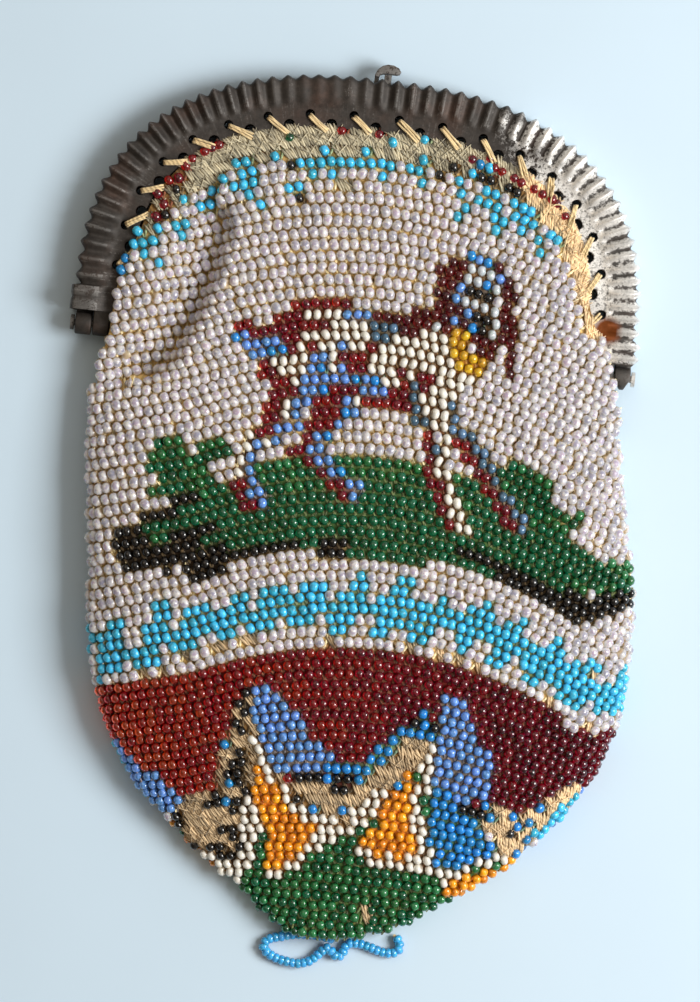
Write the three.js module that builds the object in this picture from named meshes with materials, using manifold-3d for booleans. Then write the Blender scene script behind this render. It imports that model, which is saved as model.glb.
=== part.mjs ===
// A bead-knitted reticule in a hinged, fluted metal frame, lying on its back.
// Millimetres, +Z up: X runs along the hinge, +Y towards the clasp, and the purse's front faces up.
import * as THREE from 'three';
import { mergeVertices } from 'three/addons/utils/BufferGeometryUtils.js';
import Module from 'manifold-3d';

const wasm = await Module();
wasm.setup();

// Clearance
const CLEARANCE = 0.3; // air left between neighbouring pieces

// Metal frame: two halves stamped from sheet, meeting at a parting plane
const ARCH_HALF_WIDTH = 47.3; // centre line to the crests of the flutes
const ARCH_RISE = 39.1; // top of the end blocks to the crown
const ARCH_SQUARENESS = 2.5; // exponent of the arch: 2 is an ellipse, more is squarer
const HALF_DEPTH = 3.2; // parting plane to the face of each half
const SHEET = 0.55; // metal thickness
const FLUTE_PITCH = 2.6; // crest to crest along the rim
const FLUTE_DEPTH = 0.8; // crest to valley at the rim
const FLUTED_WIDTH = 5.5; // rim to the inner end of the flutes
const SHOULDER_IN = 0.8; // where the rim has turned half way over
const SHOULDER_DROP = 0.9; // from the face down to the shoulder
const CREST_IN = 3.0; // where the rounded face is highest
const BAND_WIDTH = 3.2; // flat sewing band inside the flutes
const HOLE_PITCH = 7.9; // sewing holes along the arch
const HOLE_DIAMETER = 1.6;
const HOLE_INSET = 1.15; // inner end of the flutes to the hole centres
const HOLE_SIDES = 6;
const END_BLOCK_LENGTH = 4.3; // plain stretch at the foot of each leg
const END_BLOCK_PROUD = 0.4; // how far it stands outside the flutes
const END_BLOCK_EASE = 0.3; // length of the step between flutes and block

// Hinge
const HINGE_Y = 1.0; // hinge axis above the frame's base line
const KNUCKLE_RADIUS = 1.9;
const KNUCKLE_LENGTH = 2.6;
const KNUCKLE_INSET = 1.2; // outer face of the end block to the outer knuckle
const KNUCKLE_SIDES = 12;
const WEB_RISE = 0.5; // parting plane to the near face of a knuckle's web
const WEB_LAP = 1.2; // how far the web reaches under its end block
const PIN_RADIUS = 0.6;
const PIN_HEAD_RADIUS = 1.25;
const PIN_HEAD_THICKNESS = 0.6;

// Clasp: a sprung hook on the back half that snaps over a post on the front half
const HOOK_DEPTH = 2.0; // along Z
const HOOK_BAND = 0.7; // width of the upright band
const HOOK_LEFT = 1.3; // centre line to the outer side of the band
const HOOK_HEIGHT = 2.5; // rim to the top of the cap
const HOOK_NOSE = 3.3; // centre line to the tip of the nose
const HOOK_CAP = 1.1; // thickness of the cap
const POST_X = 1.2;
const POST_RADIUS = 0.65;
const POST_UP = 0.9; // parting plane to the post's axis

// Lacing: one thread for each half, whipped round the band's inner edge through every hole
const THREAD_DIAMETER = 0.7;
const STITCH_SLANT = 0.45; // share of the hole pitch that a stitch slants sideways

// Knitted bag
const BAG_DROP = 97.5; // mouth to where the two sides would meet
const BAG_HALF_WIDTH = 45.8;
const BAG_STRAIGHT = 42; // depth below which the sides round in
const BAG_TAPER = 0.6; // exponent of the rounding: 0.5 is an ellipse, more is pointed
const BAG_LEAN = 6.4; // how far the foot hangs to the right of the frame
const LEAN_DROP = 55; // depth at which it has leant that far
const BAG_THICKNESS = 13; // laid flat, at its fullest
const MOUTH_HEIGHT = 8.5; // top of the front wall at the hinge line
const EDGE_HEIGHT = 4.6; // height of the side edges above the table
const FOOT_HEIGHT = 5.0; // top of the front wall at the foot
const FOOT_EDGE_HEIGHT = 2.6;
const WALL = 1.8; // knitted wall with its beads
const SHOULDER_START = 2.6; // depth where the bag swells out past the hinge
const SHOULDER_END = 5.6; // depth where it has its full width
const ROW_SAG = 10.5; // how far the knitted rows droop at the sides
const SAG_SKEW = 0.9; // below 1 the fullest droop lies above the middle
const RIDGE_PITCH = 5.4; // shown ridges of the knitting
const RIDGE_HEIGHT = 0.3;
const PUFF_POWER = 2.2; // roundness of the front across its width
const FLAT_SHARE = 0.75; // share of the width that lies flat on the table
const MOUTH_FLAT_SHARE = 0.97; // the same at the mouth
const FOOT_CLOSED = 0.985; // share of the drop where the foot closes
const HOLLOW_END = 0.93; // share of the drop where the hollow ends
const FOOT_LIFT_START = 0.86; // share of the drop where the underside leaves the table
const FULLEST_FROM = 0.35; // share of the drop between which the bag is fullest
const FULLEST_TO = 0.55;
const KNIT_EDGE_UP = 1.0; // parting plane to the panels' sewn edges
const PANEL_LAP = 3.0; // how far the back panel runs into the back wall
const PANEL_RELIEF = 0.15; // back panel's faces inside those of the back wall

// Folds pressed into the front: ends of the crease, depth and half width
const FOLDS = [
  { from: [-24, 17], to: [-32, -9], depth: 1.5, reach: 2.8 },
  { from: [24, -8], to: [32, -24], depth: 0.8, reach: 4.5 },
];

// Tassel: one string of beads that loops at the foot and ends under the bag
const TASSEL_DIAMETER = 1.6;
const TASSEL_SIDES = 8;
const TASSEL_STEP = 1.6;
const TASSEL_POINTS = [
  [6.2, -97.8, 2.6], [4.2, -98.1, 1.9], [1.6, -98.1, 1.0], [-1.2, -98.0, 0.85], [-3.4, -98.5, 0.85],
  [-4.6, -99.9, 0.85], [-3.6, -101.4, 0.85], [-1.4, -102.3, 0.85], [1.2, -102.5, 0.85],
  [3.6, -101.6, 0.85], [5.4, -100.2, 0.95], [7.0, -99.6, 1.1], [8.3, -100.4, 1.0], [9.6, -101.0, 0.85],
  [10.5, -99.9, 0.85], [10.9, -98.5, 0.85], [12.4, -98.0, 0.85], [14.6, -98.6, 0.85],
  [16.6, -99.1, 0.85], [18.1, -98.5, 0.85], [18.5, -97.2, 0.85], [17.9, -96.0, 0.85],
];

// Mesh density
const PANEL_ROWS = 14;
const PANEL_COLUMNS = 20;
const FRONT_COLUMNS = 20;
const BACK_COLUMNS = 10;
const HOLLOW_ROWS = 9;
const ROW_TRIES = 30; // steps that settle a row's place

// Sizes that follow
const PARTING = HALF_DEPTH;
const LEG_END = HINGE_Y + KNUCKLE_RADIUS + CLEARANCE;
const ARCH_BASE = LEG_END + END_BLOCK_LENGTH;
const CROWN_Y = ARCH_BASE + ARCH_RISE;
const BAND_UP = HALF_DEPTH - THREAD_DIAMETER - CLEARANCE; // parting plane to the band's face
const BAND_EDGE = FLUTED_WIDTH + BAND_WIDTH; // rim to the band's inner edge
const THREAD_IN = BAND_EDGE + CLEARANCE + THREAD_DIAMETER / 2;
const KNIT_EDGE = THREAD_IN + THREAD_DIAMETER / 2 + CLEARANCE;
const BLOCK_FACE = ARCH_HALF_WIDTH + END_BLOCK_PROUD;
const MOUTH_HALF_WIDTH = BLOCK_FACE - BAND_EDGE - 2 * CLEARANCE;
const MOUTH_Y = -CLEARANCE / 2;

const { lerp, smoothstep } = THREE.MathUtils;

// The rim's crest line, from the right leg over the crown to the left leg
class Arch extends THREE.Curve {
  getPoint(t, target = new THREE.Vector2()) {
    const across = Math.cos(Math.PI * t);
    const power = 2 / ARCH_SQUARENESS;
    return target.set(
      ARCH_HALF_WIDTH * Math.sign(across) * Math.abs(across) ** power,
      ARCH_BASE + ARCH_RISE * Math.abs(Math.sin(Math.PI * t)) ** power,
    );
  }
}

// Straight runs between points, with one step for each run
class Polyline extends THREE.Curve {
  constructor(points) {
    super();
    this.points = points;
  }

  getPoint(t, target = new THREE.Vector3()) {
    const place = t * (this.points.length - 1);
    const i = Math.min(Math.floor(place), this.points.length - 2);
    return target.lerpVectors(this.points[i], this.points[i + 1], place - i);
  }

  getUtoTmapping(u) {
    return u;
  }
}

const arch = new Arch();
arch.arcLengthDivisions = 1000;
const ARCH_LENGTH = arch.getLength();

// A place on the arch: u along it, and the distance in from the rim
function onArch(u, inward = 0) {
  const point = arch.getPointAt(u);
  const tangent = arch.getTangentAt(u);
  return point.add(new THREE.Vector2(-tangent.y, tangent.x).multiplyScalar(inward));
}

// Closed geometry from vertices and triangles, turned so that its faces point out
function closedGeometry(points, triangles) {
  let volume = 0;
  for (const [a, b, c] of triangles) {
    volume += points[a].dot(new THREE.Vector3().crossVectors(points[b], points[c]));
  }
  const facing = volume < 0 ? triangles.map(([a, b, c]) => [a, c, b]) : triangles;
  const geometry = new THREE.BufferGeometry().setFromPoints(points);
  geometry.setIndex(facing.flat());
  return geometry;
}

// A wall between two grids of points with as many columns. A ring's columns close on themselves.
// Without a foot the two grids have as many rows too, and meet along every border.
function wallGeometry(outer, inner, { ring = false, foot = false } = {}) {
  const points = [];
  const triangles = [];
  const columns = outer[0].length;
  const last = ring ? columns : columns - 1;
  const next = (j) => (j + 1) % columns;
  const number = (grid) => grid.map((row) => row.map((p) => points.push(p) - 1));
  const quad = (a, b, c, d) => triangles.push([a, b, c], [a, c, d]);
  const out = number(outer);
  const into = number(inner);
  const skin = (grid, turn) => {
    for (let i = 0; i + 1 < grid.length; i += 1) {
      for (let j = 0; j < last; j += 1) {
        const q = [grid[i][j], grid[i][next(j)], grid[i + 1][next(j)], grid[i + 1][j]];
        quad(...(turn ? q.reverse() : q));
      }
    }
  };
  const close = (row, turn) => {
    const middle = new THREE.Vector3();
    row.forEach((k) => middle.addScaledVector(points[k], 1 / row.length));
    const hub = points.push(middle) - 1;
    row.forEach((k, j) => triangles.push(turn ? [k, hub, row[next(j)]] : [k, row[next(j)], hub]));
  };
  skin(out, false);
  skin(into, true);
  for (let j = 0; j < last; j += 1) {
    quad(out[0][next(j)], out[0][j], into[0][j], into[0][next(j)]);
    if (!foot) {
      quad(out.at(-1)[j], out.at(-1)[next(j)], into.at(-1)[next(j)], into.at(-1)[j]);
    }
  }
  if (foot) {
    close(out.at(-1), false);
    close(into.at(-1), true);
  }
  if (!ring) {
    for (let i = 0; i + 1 < out.length; i += 1) {
      quad(out[i][0], out[i + 1][0], into[i + 1][0], into[i][0]);
      quad(out[i + 1].at(-1), out[i].at(-1), into[i].at(-1), into[i + 1].at(-1));
    }
  }
  return closedGeometry(points, triangles);
}

// Solids for joining and cutting
function solidOf(geometry) {
  const bare = geometry.clone();
  bare.deleteAttribute('normal');
  bare.deleteAttribute('uv');
  const merged = mergeVertices(bare);
  return new wasm.Manifold(new wasm.Mesh({
    numProp: 3,
    vertProperties: new Float32Array(merged.attributes.position.array),
    triVerts: new Uint32Array(merged.index.array),
  }));
}

function geometryOf(solid) {
  const mesh = solid.getMesh();
  const geometry = new THREE.BufferGeometry();
  geometry.setAttribute('position', new THREE.BufferAttribute(new Float32Array(mesh.vertProperties), 3));
  geometry.setIndex(new THREE.BufferAttribute(new Uint32Array(mesh.triVerts), 1));
  return geometry;
}

function rodAlongX(radius, from, to, sides) {
  const rod = new THREE.CylinderGeometry(radius, radius, to - from, sides);
  return rod.rotateZ(Math.PI / 2).translate((from + to) / 2, HINGE_Y, PARTING);
}

// One half's section: distances in from the rim and up from the parting plane.
// flute is 0 on a crest and 1 in a valley.
function frameSection(flute) {
  const dip = FLUTE_DEPTH * flute;
  const face = [
    new THREE.Vector2(dip, CLEARANCE / 2),
    new THREE.Vector2(SHOULDER_IN + dip / 2, HALF_DEPTH - SHOULDER_DROP - dip / 2),
    new THREE.Vector2(CREST_IN, HALF_DEPTH - dip),
    new THREE.Vector2(FLUTED_WIDTH, BAND_UP),
    new THREE.Vector2(BAND_EDGE, BAND_UP),
  ];
  const back = face.map((p, i) => {
    if (i === 0) {
      return new THREE.Vector2(p.x + SHEET, p.y);
    }
    if (i >= face.length - 2) {
      return new THREE.Vector2(p.x, p.y - SHEET);
    }
    const along = face[i + 1].clone().sub(face[i - 1]).normalize();
    return new THREE.Vector2(p.x + along.y * SHEET, p.y - along.x * SHEET);
  });
  return { face, back };
}

// Stations along one half, from the right leg's foot to the left leg's foot
function frameStations() {
  const flutes = Math.round(ARCH_LENGTH / FLUTE_PITCH);
  const leg = (side, y) => ({
    point: new THREE.Vector2(side * BLOCK_FACE, y),
    inward: new THREE.Vector2(-side, 0),
    flute: 0,
  });
  const stations = [leg(1, LEG_END), leg(1, ARCH_BASE - END_BLOCK_EASE)];
  for (let k = 0; k <= 2 * flutes; k += 1) {
    const u = k / (2 * flutes);
    const point = onArch(u);
    stations.push({ point, inward: onArch(u, 1).sub(point), flute: (k + 1) % 2 });
  }
  stations.push(leg(-1, ARCH_BASE - END_BLOCK_EASE), leg(-1, LEG_END));
  return stations;
}

// Sewing holes, evenly along the arch
function holePlaces() {
  const count = Math.round(ARCH_LENGTH / HOLE_PITCH);
  return Array.from({ length: count }, (_, i) => (i + 0.5) / count);
}

// Knuckles alternate along each hinge: the back half's outside, the front half's inside
function knuckleSpan(side) {
  const outer = BLOCK_FACE - KNUCKLE_INSET;
  const to = side < 0 ? outer : outer - KNUCKLE_LENGTH - CLEARANCE;
  return { from: to - KNUCKLE_LENGTH, to };
}

// One half of the frame; side is 1 for the front and -1 for the back
function frameHalf(side) {
  const rows = (part) => frameStations().map(({ point, inward, flute }) => frameSection(flute)[part]
    .map((p) => new THREE.Vector3(
      point.x + inward.x * p.x,
      point.y + inward.y * p.x,
      PARTING + side * p.y,
    )));
  let half = solidOf(wallGeometry(rows('face'), rows('back')));
  for (const u of holePlaces()) {
    const { x, y } = onArch(u, FLUTED_WIDTH + HOLE_INSET);
    const radius = HOLE_DIAMETER / 2;
    const punch = new THREE.CylinderGeometry(radius, radius, HALF_DEPTH, HOLE_SIDES);
    punch.rotateX(Math.PI / 2).translate(x, y, PARTING + side * BAND_UP);
    half = half.subtract(solidOf(punch));
  }
  const { from, to } = knuckleSpan(side);
  const webTop = BAND_UP - SHEET / 2;
  for (const hand of [-1, 1]) {
    const ends = [hand * from, hand * to].sort((a, b) => a - b);
    const knuckle = rodAlongX(KNUCKLE_RADIUS, ...ends, KNUCKLE_SIDES);
    const web = new THREE.BoxGeometry(KNUCKLE_LENGTH, LEG_END + WEB_LAP - HINGE_Y, webTop - WEB_RISE);
    web.translate(
      hand * (from + to) / 2,
      (HINGE_Y + LEG_END + WEB_LAP) / 2,
      PARTING + side * (webTop + WEB_RISE) / 2,
    );
    const bore = rodAlongX(
      PIN_RADIUS + CLEARANCE,
      ends[0] - CLEARANCE,
      ends[1] + CLEARANCE,
      KNUCKLE_SIDES,
    );
    half = half.add(solidOf(web)).add(solidOf(knuckle)).subtract(solidOf(bore));
  }
  return geometryOf(half);
}

// A headed rivet through both knuckles of one hinge
function hingePin(hand) {
  const inner = knuckleSpan(1).from - CLEARANCE;
  const outer = knuckleSpan(-1).to + CLEARANCE;
  const middle = (inner + outer) / 2;
  const half = (outer - inner) / 2;
  const profile = [
    [0, -half - PIN_HEAD_THICKNESS],
    [PIN_HEAD_RADIUS, -half - PIN_HEAD_THICKNESS],
    [PIN_HEAD_RADIUS, -half],
    [PIN_RADIUS, -half],
    [PIN_RADIUS, half],
    [PIN_HEAD_RADIUS, half],
    [PIN_HEAD_RADIUS, half + PIN_HEAD_THICKNESS],
    [0, half + PIN_HEAD_THICKNESS],
  ].map(([x, y]) => new THREE.Vector2(x, y));
  const pin = new THREE.LatheGeometry(profile, KNUCKLE_SIDES);
  return pin.rotateZ(Math.PI / 2).translate(hand * middle, HINGE_Y, PARTING);
}

// The hook: an upright band that arches over into a cap with a nose
function claspHook() {
  const under = HOOK_HEIGHT - HOOK_CAP;
  const shape = new THREE.Shape();
  shape.moveTo(-HOOK_LEFT, 0);
  shape.lineTo(-HOOK_LEFT, HOOK_BAND);
  shape.quadraticCurveTo(-HOOK_LEFT + HOOK_BAND, HOOK_HEIGHT, HOOK_BAND, HOOK_HEIGHT);
  shape.quadraticCurveTo(HOOK_NOSE - HOOK_BAND, HOOK_HEIGHT, HOOK_NOSE, under);
  shape.lineTo(HOOK_NOSE - HOOK_BAND, under - HOOK_BAND / 2);
  shape.quadraticCurveTo(HOOK_BAND * 2, under, HOOK_BAND, under);
  shape.quadraticCurveTo(-HOOK_LEFT + HOOK_BAND, under, -HOOK_LEFT + HOOK_BAND, 0);
  const hook = new THREE.ExtrudeGeometry(shape, {
    depth: HOOK_DEPTH, bevelEnabled: false, curveSegments: 4,
  });
  return hook.translate(0, CROWN_Y + CLEARANCE, PARTING - HOOK_DEPTH / 2);
}

function claspPost() {
  const height = HOOK_HEIGHT - HOOK_CAP - CLEARANCE;
  const post = new THREE.CylinderGeometry(POST_RADIUS, POST_RADIUS, height - CLEARANCE, KNUCKLE_SIDES);
  return post.translate(POST_X, CROWN_Y + CLEARANCE + (height - CLEARANCE) / 2, PARTING + POST_UP);
}

// One half's lacing: up through a hole, slanting over the band, down past its edge, on to the next hole
function lacing(side) {
  const over = PARTING + side * (BAND_UP + CLEARANCE + THREAD_DIAMETER / 2);
  const below = PARTING + side * (BAND_UP - SHEET - CLEARANCE - THREAD_DIAMETER / 2);
  const places = holePlaces().reverse();
  const slant = STITCH_SLANT / places.length;
  const points = places.flatMap((u) => {
    const hole = onArch(u, FLUTED_WIDTH + HOLE_INSET);
    const edge = onArch(u - slant, THREAD_IN);
    return [
      new THREE.Vector3(hole.x, hole.y, below),
      new THREE.Vector3(hole.x, hole.y, over),
      new THREE.Vector3(edge.x, edge.y, over),
      new THREE.Vector3(edge.x, edge.y, below),
    ];
  });
  const r = THREAD_DIAMETER / 2;
  const section = new THREE.Shape([[r, 0], [0, r], [-r, 0], [0, -r]].map((p) => new THREE.Vector2(...p)));
  return new THREE.ExtrudeGeometry(section, {
    steps: points.length - 1, bevelEnabled: false, extrudePath: new Polyline(points),
  });
}

// Depth that the folds press into the front at a place
function foldDip(x, y) {
  const place = new THREE.Vector3(x, y, 0);
  const near = new THREE.Vector3();
  return FOLDS.reduce((dip, { from, to, depth, reach }) => {
    const crease = new THREE.Line3(new THREE.Vector3(...from, 0), new THREE.Vector3(...to, 0));
    const away = crease.closestPointToPoint(place, true, near).distanceTo(place) / reach;
    return dip + depth * Math.exp(-away * away);
  }, 0);
}

// Across the bag from -1 on the left edge to 1 on the right: how far the front has puffed up
function puff(s) {
  return Math.max(0, 1 - Math.abs(s) ** PUFF_POWER) ** (1 / PUFF_POWER);
}

// A quarter round that starts flat: 0 at 0 and 1 at 1
function quarterRound(share) {
  const q = THREE.MathUtils.clamp(share, 0, 1);
  return 1 - Math.sqrt(1 - q * q);
}

function bagLean(depth) {
  return BAG_LEAN * Math.sin((Math.PI / 2) * Math.min(1, depth / LEAN_DROP));
}

function bagHalfWidth(depth) {
  const swell = smoothstep(depth, SHOULDER_START, SHOULDER_END);
  const rounding = Math.max(0, (depth - BAG_STRAIGHT) / (BAG_DROP - BAG_STRAIGHT));
  const full = BAG_HALF_WIDTH * Math.max(0, 1 - rounding * rounding) ** BAG_TAPER;
  return lerp(MOUTH_HALF_WIDTH, full, swell);
}

// Droop of the row that starts at share t of the drop
function rowSag(t) {
  return ROW_SAG * Math.sin(Math.PI * t ** SAG_SKEW);
}

// A point of the bag's wall: t down the bag, s across it, on the front or back, inset by some thickness
function bagPoint(t, s, front, inset, ridge = 0) {
  const sag = rowSag(t);
  const edgeDepth = t * BAG_DROP + sag;
  const middle = bagLean(t * BAG_DROP);
  const x = middle + s * (bagHalfWidth(edgeDepth) - inset) + s * s * (bagLean(edgeDepth) - middle);
  const y = MOUTH_Y - t * BAG_DROP - s * s * sag;
  const narrowing = smoothstep(t, FULLEST_TO, 1);
  const edge = lerp(EDGE_HEIGHT, FOOT_EDGE_HEIGHT, narrowing);
  if (front) {
    const full = lerp(MOUTH_HEIGHT, BAG_THICKNESS, smoothstep(t, 0, FULLEST_FROM));
    const top = lerp(full, FOOT_HEIGHT, narrowing) - inset - foldDip(x, y) + ridge;
    return new THREE.Vector3(x, y, edge + (top - edge) * puff(s));
  }
  const flat = lerp(MOUTH_FLAT_SHARE, FLAT_SHARE, smoothstep(t, 0, FULLEST_FROM));
  const side = quarterRound((Math.abs(s) - flat) / (1 - flat));
  const foot = quarterRound((t - FOOT_LIFT_START) / (1 - FOOT_LIFT_START));
  return new THREE.Vector3(x, y, inset + (edge - inset) * (1 - (1 - side) * (1 - foot)));
}

// One ring round the bag: over the front from left to right, then back along the underside
function bagRing(t, inset, ridge = 0) {
  const across = (j, count) => -Math.cos((Math.PI * j) / count);
  const ring = [];
  for (let j = 0; j < FRONT_COLUMNS; j += 1) {
    ring.push(bagPoint(t, across(j, FRONT_COLUMNS), true, inset, ridge));
  }
  for (let j = 0; j < BACK_COLUMNS; j += 1) {
    ring.push(bagPoint(t, -across(j, BACK_COLUMNS), false, inset));
  }
  return ring;
}

// Rows of the bag's outside, with their ridges: plain ones where it swells out below the hinge,
// then ridges and grooves in turn down to the foot
function bagRows() {
  const plain = [0, SHOULDER_START, (SHOULDER_START + SHOULDER_END) / 2, SHOULDER_END].map((depth) => {
    let t = 0;
    for (let tries = 0; tries < ROW_TRIES; tries += 1) {
      t = Math.max(0, depth - rowSag(t)) / BAG_DROP;
    }
    return { t, ridge: 0 };
  });
  const start = plain.at(-1).t;
  const count = 2 * Math.round(BAG_DROP / RIDGE_PITCH);
  const ridged = Array.from({ length: count }, (_, i) => ({
    t: lerp(start, FOOT_CLOSED, (i + 1) / count),
    ridge: i % 2 ? -RIDGE_HEIGHT : RIDGE_HEIGHT,
  }));
  return [...plain, ...ridged];
}

// A panel that fills the arch: rows straight at the mouth, curving up to the sewn edge.
// height(s, up) gives the height of its upper face.
function panelGeometry(footY, height, thickness, ridged) {
  const grid = (drop) => Array.from({ length: PANEL_ROWS + 1 }, (_, i) => {
    const up = i / PANEL_ROWS;
    return Array.from({ length: PANEL_COLUMNS + 1 }, (_, j) => {
      const s = -Math.cos((Math.PI * j) / PANEL_COLUMNS);
      const sewn = onArch((1 - s) / 2, KNIT_EDGE);
      const x = lerp(s * (ARCH_HALF_WIDTH - KNIT_EDGE), sewn.x, up);
      const y = lerp(footY, sewn.y, up);
      const inside = i > 0 && i < PANEL_ROWS && drop === 0;
      const ridge = ridged && inside ? (i % 2 ? RIDGE_HEIGHT : -RIDGE_HEIGHT) * puff(s) : 0;
      const dip = ridged ? foldDip(x, y) * puff(s) * (1 - up) : 0;
      return new THREE.Vector3(x, y, height(s, up) - drop + ridge - dip);
    });
  });
  return wallGeometry(grid(0), grid(thickness));
}

function frontPanel() {
  const sewnTop = PARTING + KNIT_EDGE_UP + WALL;
  const height = (s, up) => {
    const mouth = EDGE_HEIGHT + (MOUTH_HEIGHT - EDGE_HEIGHT) * puff(s);
    return lerp(sewnTop, mouth, Math.cos((Math.PI / 2) * up));
  };
  return panelGeometry(-MOUTH_Y, height, WALL, true);
}

// The pouch below the hinge, with the back panel that runs up into the arch
function pouch() {
  const outer = bagRows().map(({ t, ridge }) => bagRing(t, 0, ridge));
  const inner = Array.from({ length: HOLLOW_ROWS + 1 }, (_, i) => (
    bagRing((HOLLOW_END * i) / HOLLOW_ROWS, WALL)
  ));
  const sleeve = solidOf(wallGeometry(outer, inner, { ring: true, foot: true }));
  const panelTop = WALL - PANEL_RELIEF;
  const panel = solidOf(panelGeometry(MOUTH_Y - PANEL_LAP, () => panelTop, panelTop - PANEL_RELIEF, false));
  return geometryOf(sleeve.add(panel));
}

function tassel() {
  const r = TASSEL_DIAMETER / 2;
  const section = new THREE.Shape(Array.from({ length: TASSEL_SIDES }, (_, i) => {
    const angle = (2 * Math.PI * i) / TASSEL_SIDES;
    return new THREE.Vector2(r * Math.cos(angle), r * Math.sin(angle));
  }));
  const path = new THREE.CatmullRomCurve3(TASSEL_POINTS.map((p) => new THREE.Vector3(...p)));
  return new THREE.ExtrudeGeometry(section, {
    steps: Math.ceil(path.getLength() / TASSEL_STEP), bevelEnabled: false, extrudePath: path,
  });
}

const material = (color, roughness, metalness) => (
  new THREE.MeshStandardMaterial({ color, roughness, metalness })
);
const tarnishedMetal = () => material(0x5d5752, 0.48, 0.9);
const linenThread = () => material(0xd9bd86, 0.85, 0);
const beadKnit = () => material(0xb8abb2, 0.45, 0);
const turquoiseGlass = () => material(0x2f9fe0, 0.25, 0);

const reticule = new THREE.Group();
const frame = new THREE.Group();
const bag = new THREE.Group();
reticule.add(frame, bag);

function place(group, name, geometry, finish) {
  const mesh = new THREE.Mesh(geometry, finish);
  mesh.name = name;
  group.add(mesh);
}

place(frame, 'front_frame', frameHalf(1), tarnishedMetal());
place(frame, 'back_frame', frameHalf(-1), tarnishedMetal());
place(frame, 'left_hinge_pin', hingePin(-1), tarnishedMetal());
place(frame, 'right_hinge_pin', hingePin(1), tarnishedMetal());
place(frame, 'clasp_hook', claspHook(), tarnishedMetal());
place(frame, 'clasp_post', claspPost(), tarnishedMetal());
place(bag, 'front_lacing', lacing(1), linenThread());
place(bag, 'back_lacing', lacing(-1), linenThread());
place(bag, 'bag_front_panel', frontPanel(), beadKnit());
place(bag, 'bag_pouch', pouch(), beadKnit());

// The origin is under the middle of the purse, on the table; the tassel lies outside that box
const box = new THREE.Box3().setFromObject(reticule);
const centre = box.getCenter(new THREE.Vector3());
reticule.position.set(-centre.x, -centre.y, -box.min.z);
place(bag, 'bead_tassel', tassel(), turquoiseGlass());

export default reticule;
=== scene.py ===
"""A bead-knitted reticule in a hinged, fluted metal frame, lying on its back."""
import math
from functools import partial

import bpy
import numpy as np
from bpy.props import FloatProperty, FloatVectorProperty, PointerProperty
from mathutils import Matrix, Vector


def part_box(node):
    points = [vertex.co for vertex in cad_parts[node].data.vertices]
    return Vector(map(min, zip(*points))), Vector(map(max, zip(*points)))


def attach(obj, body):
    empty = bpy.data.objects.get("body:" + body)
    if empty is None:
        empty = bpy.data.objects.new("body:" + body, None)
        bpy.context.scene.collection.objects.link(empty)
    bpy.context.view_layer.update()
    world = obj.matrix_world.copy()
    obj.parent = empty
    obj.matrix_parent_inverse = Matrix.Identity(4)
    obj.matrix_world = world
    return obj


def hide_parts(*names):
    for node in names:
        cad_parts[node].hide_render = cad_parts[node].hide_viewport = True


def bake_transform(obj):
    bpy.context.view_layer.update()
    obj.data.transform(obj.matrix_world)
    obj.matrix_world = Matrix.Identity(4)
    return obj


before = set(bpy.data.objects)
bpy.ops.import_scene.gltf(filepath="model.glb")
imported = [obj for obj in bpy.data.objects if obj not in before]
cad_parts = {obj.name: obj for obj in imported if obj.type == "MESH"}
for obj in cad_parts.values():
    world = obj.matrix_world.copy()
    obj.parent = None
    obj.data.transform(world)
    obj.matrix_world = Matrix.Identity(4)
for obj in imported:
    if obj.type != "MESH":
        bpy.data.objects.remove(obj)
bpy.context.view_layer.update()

bl_info = {
    "name": "Bead-knitted reticule",
    "version": (1, 0, 0),
    "blender": (4, 5, 0),
    "location": "View3D > Sidebar > Reticule",
    "description": "Dresses the packed reticule with its knitting, glass beads and metal frame",
    "category": "Object",
}

MM = 0.001
BACK, FRONT = "back", "front"

# The frame's own axes, in millimetres: X along the hinge, Y from the hinge's base line to the clasp
PIN_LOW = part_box("left_hinge_pin")[0]
PIN_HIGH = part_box("right_hinge_pin")[1]
HINGE_Y = 1.0  # hinge axis above the base line
ORIGIN = np.array([
    (PIN_LOW.x + PIN_HIGH.x) / 2,
    (PIN_LOW.y + PIN_HIGH.y) / 2 - HINGE_Y * MM,
    0.0,
])
PARTING = (PIN_LOW.z + PIN_HIGH.z) / 2 / MM  # height of the plane where the two halves meet

# Metal frame
ARCH_HALF_WIDTH = 47.3
ARCH_BASE = 7.5
ARCH_RISE = 39.1
ARCH_SQUARENESS = 2.5
HALF_DEPTH = 3.2
BAND_UP = 2.2  # parting plane to the sewing band
BAND_EDGE = 8.9  # rim to the band's inner edge
LEG_END = 3.2
BLOCK_PROUD = 0.4
HOLE_INSET = 6.6
INNER_HOLE_INSET = 8.3
KNUCKLE_RADIUS = 1.9
KNUCKLE_SPAN = {FRONT: (40.9, 43.6), BACK: (43.9, 46.6)}  # from the middle of the purse
LEAF_Y, LEAF_LIFT, LEAF_LENGTH, LEAF_THICK = 2.7, 1.2, 3.4, 1.4  # between a knuckle and its leg
SHARP_ANGLE = math.radians(50)  # edges sharper than this are not smoothed
FLUTE_STEPS, BLOCK_STEPS = 10, 20  # points along a flute, and along an end block
BAND_COLUMNS = 9  # points across the flat band
WORN_X, WORN_REACH, WORN_FROM = -9.5, 8.0, 30.0  # where the crown's face is worn smooth
RUST_SPOT = (41.9, 8.6, PARTING + BAND_UP)

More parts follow.
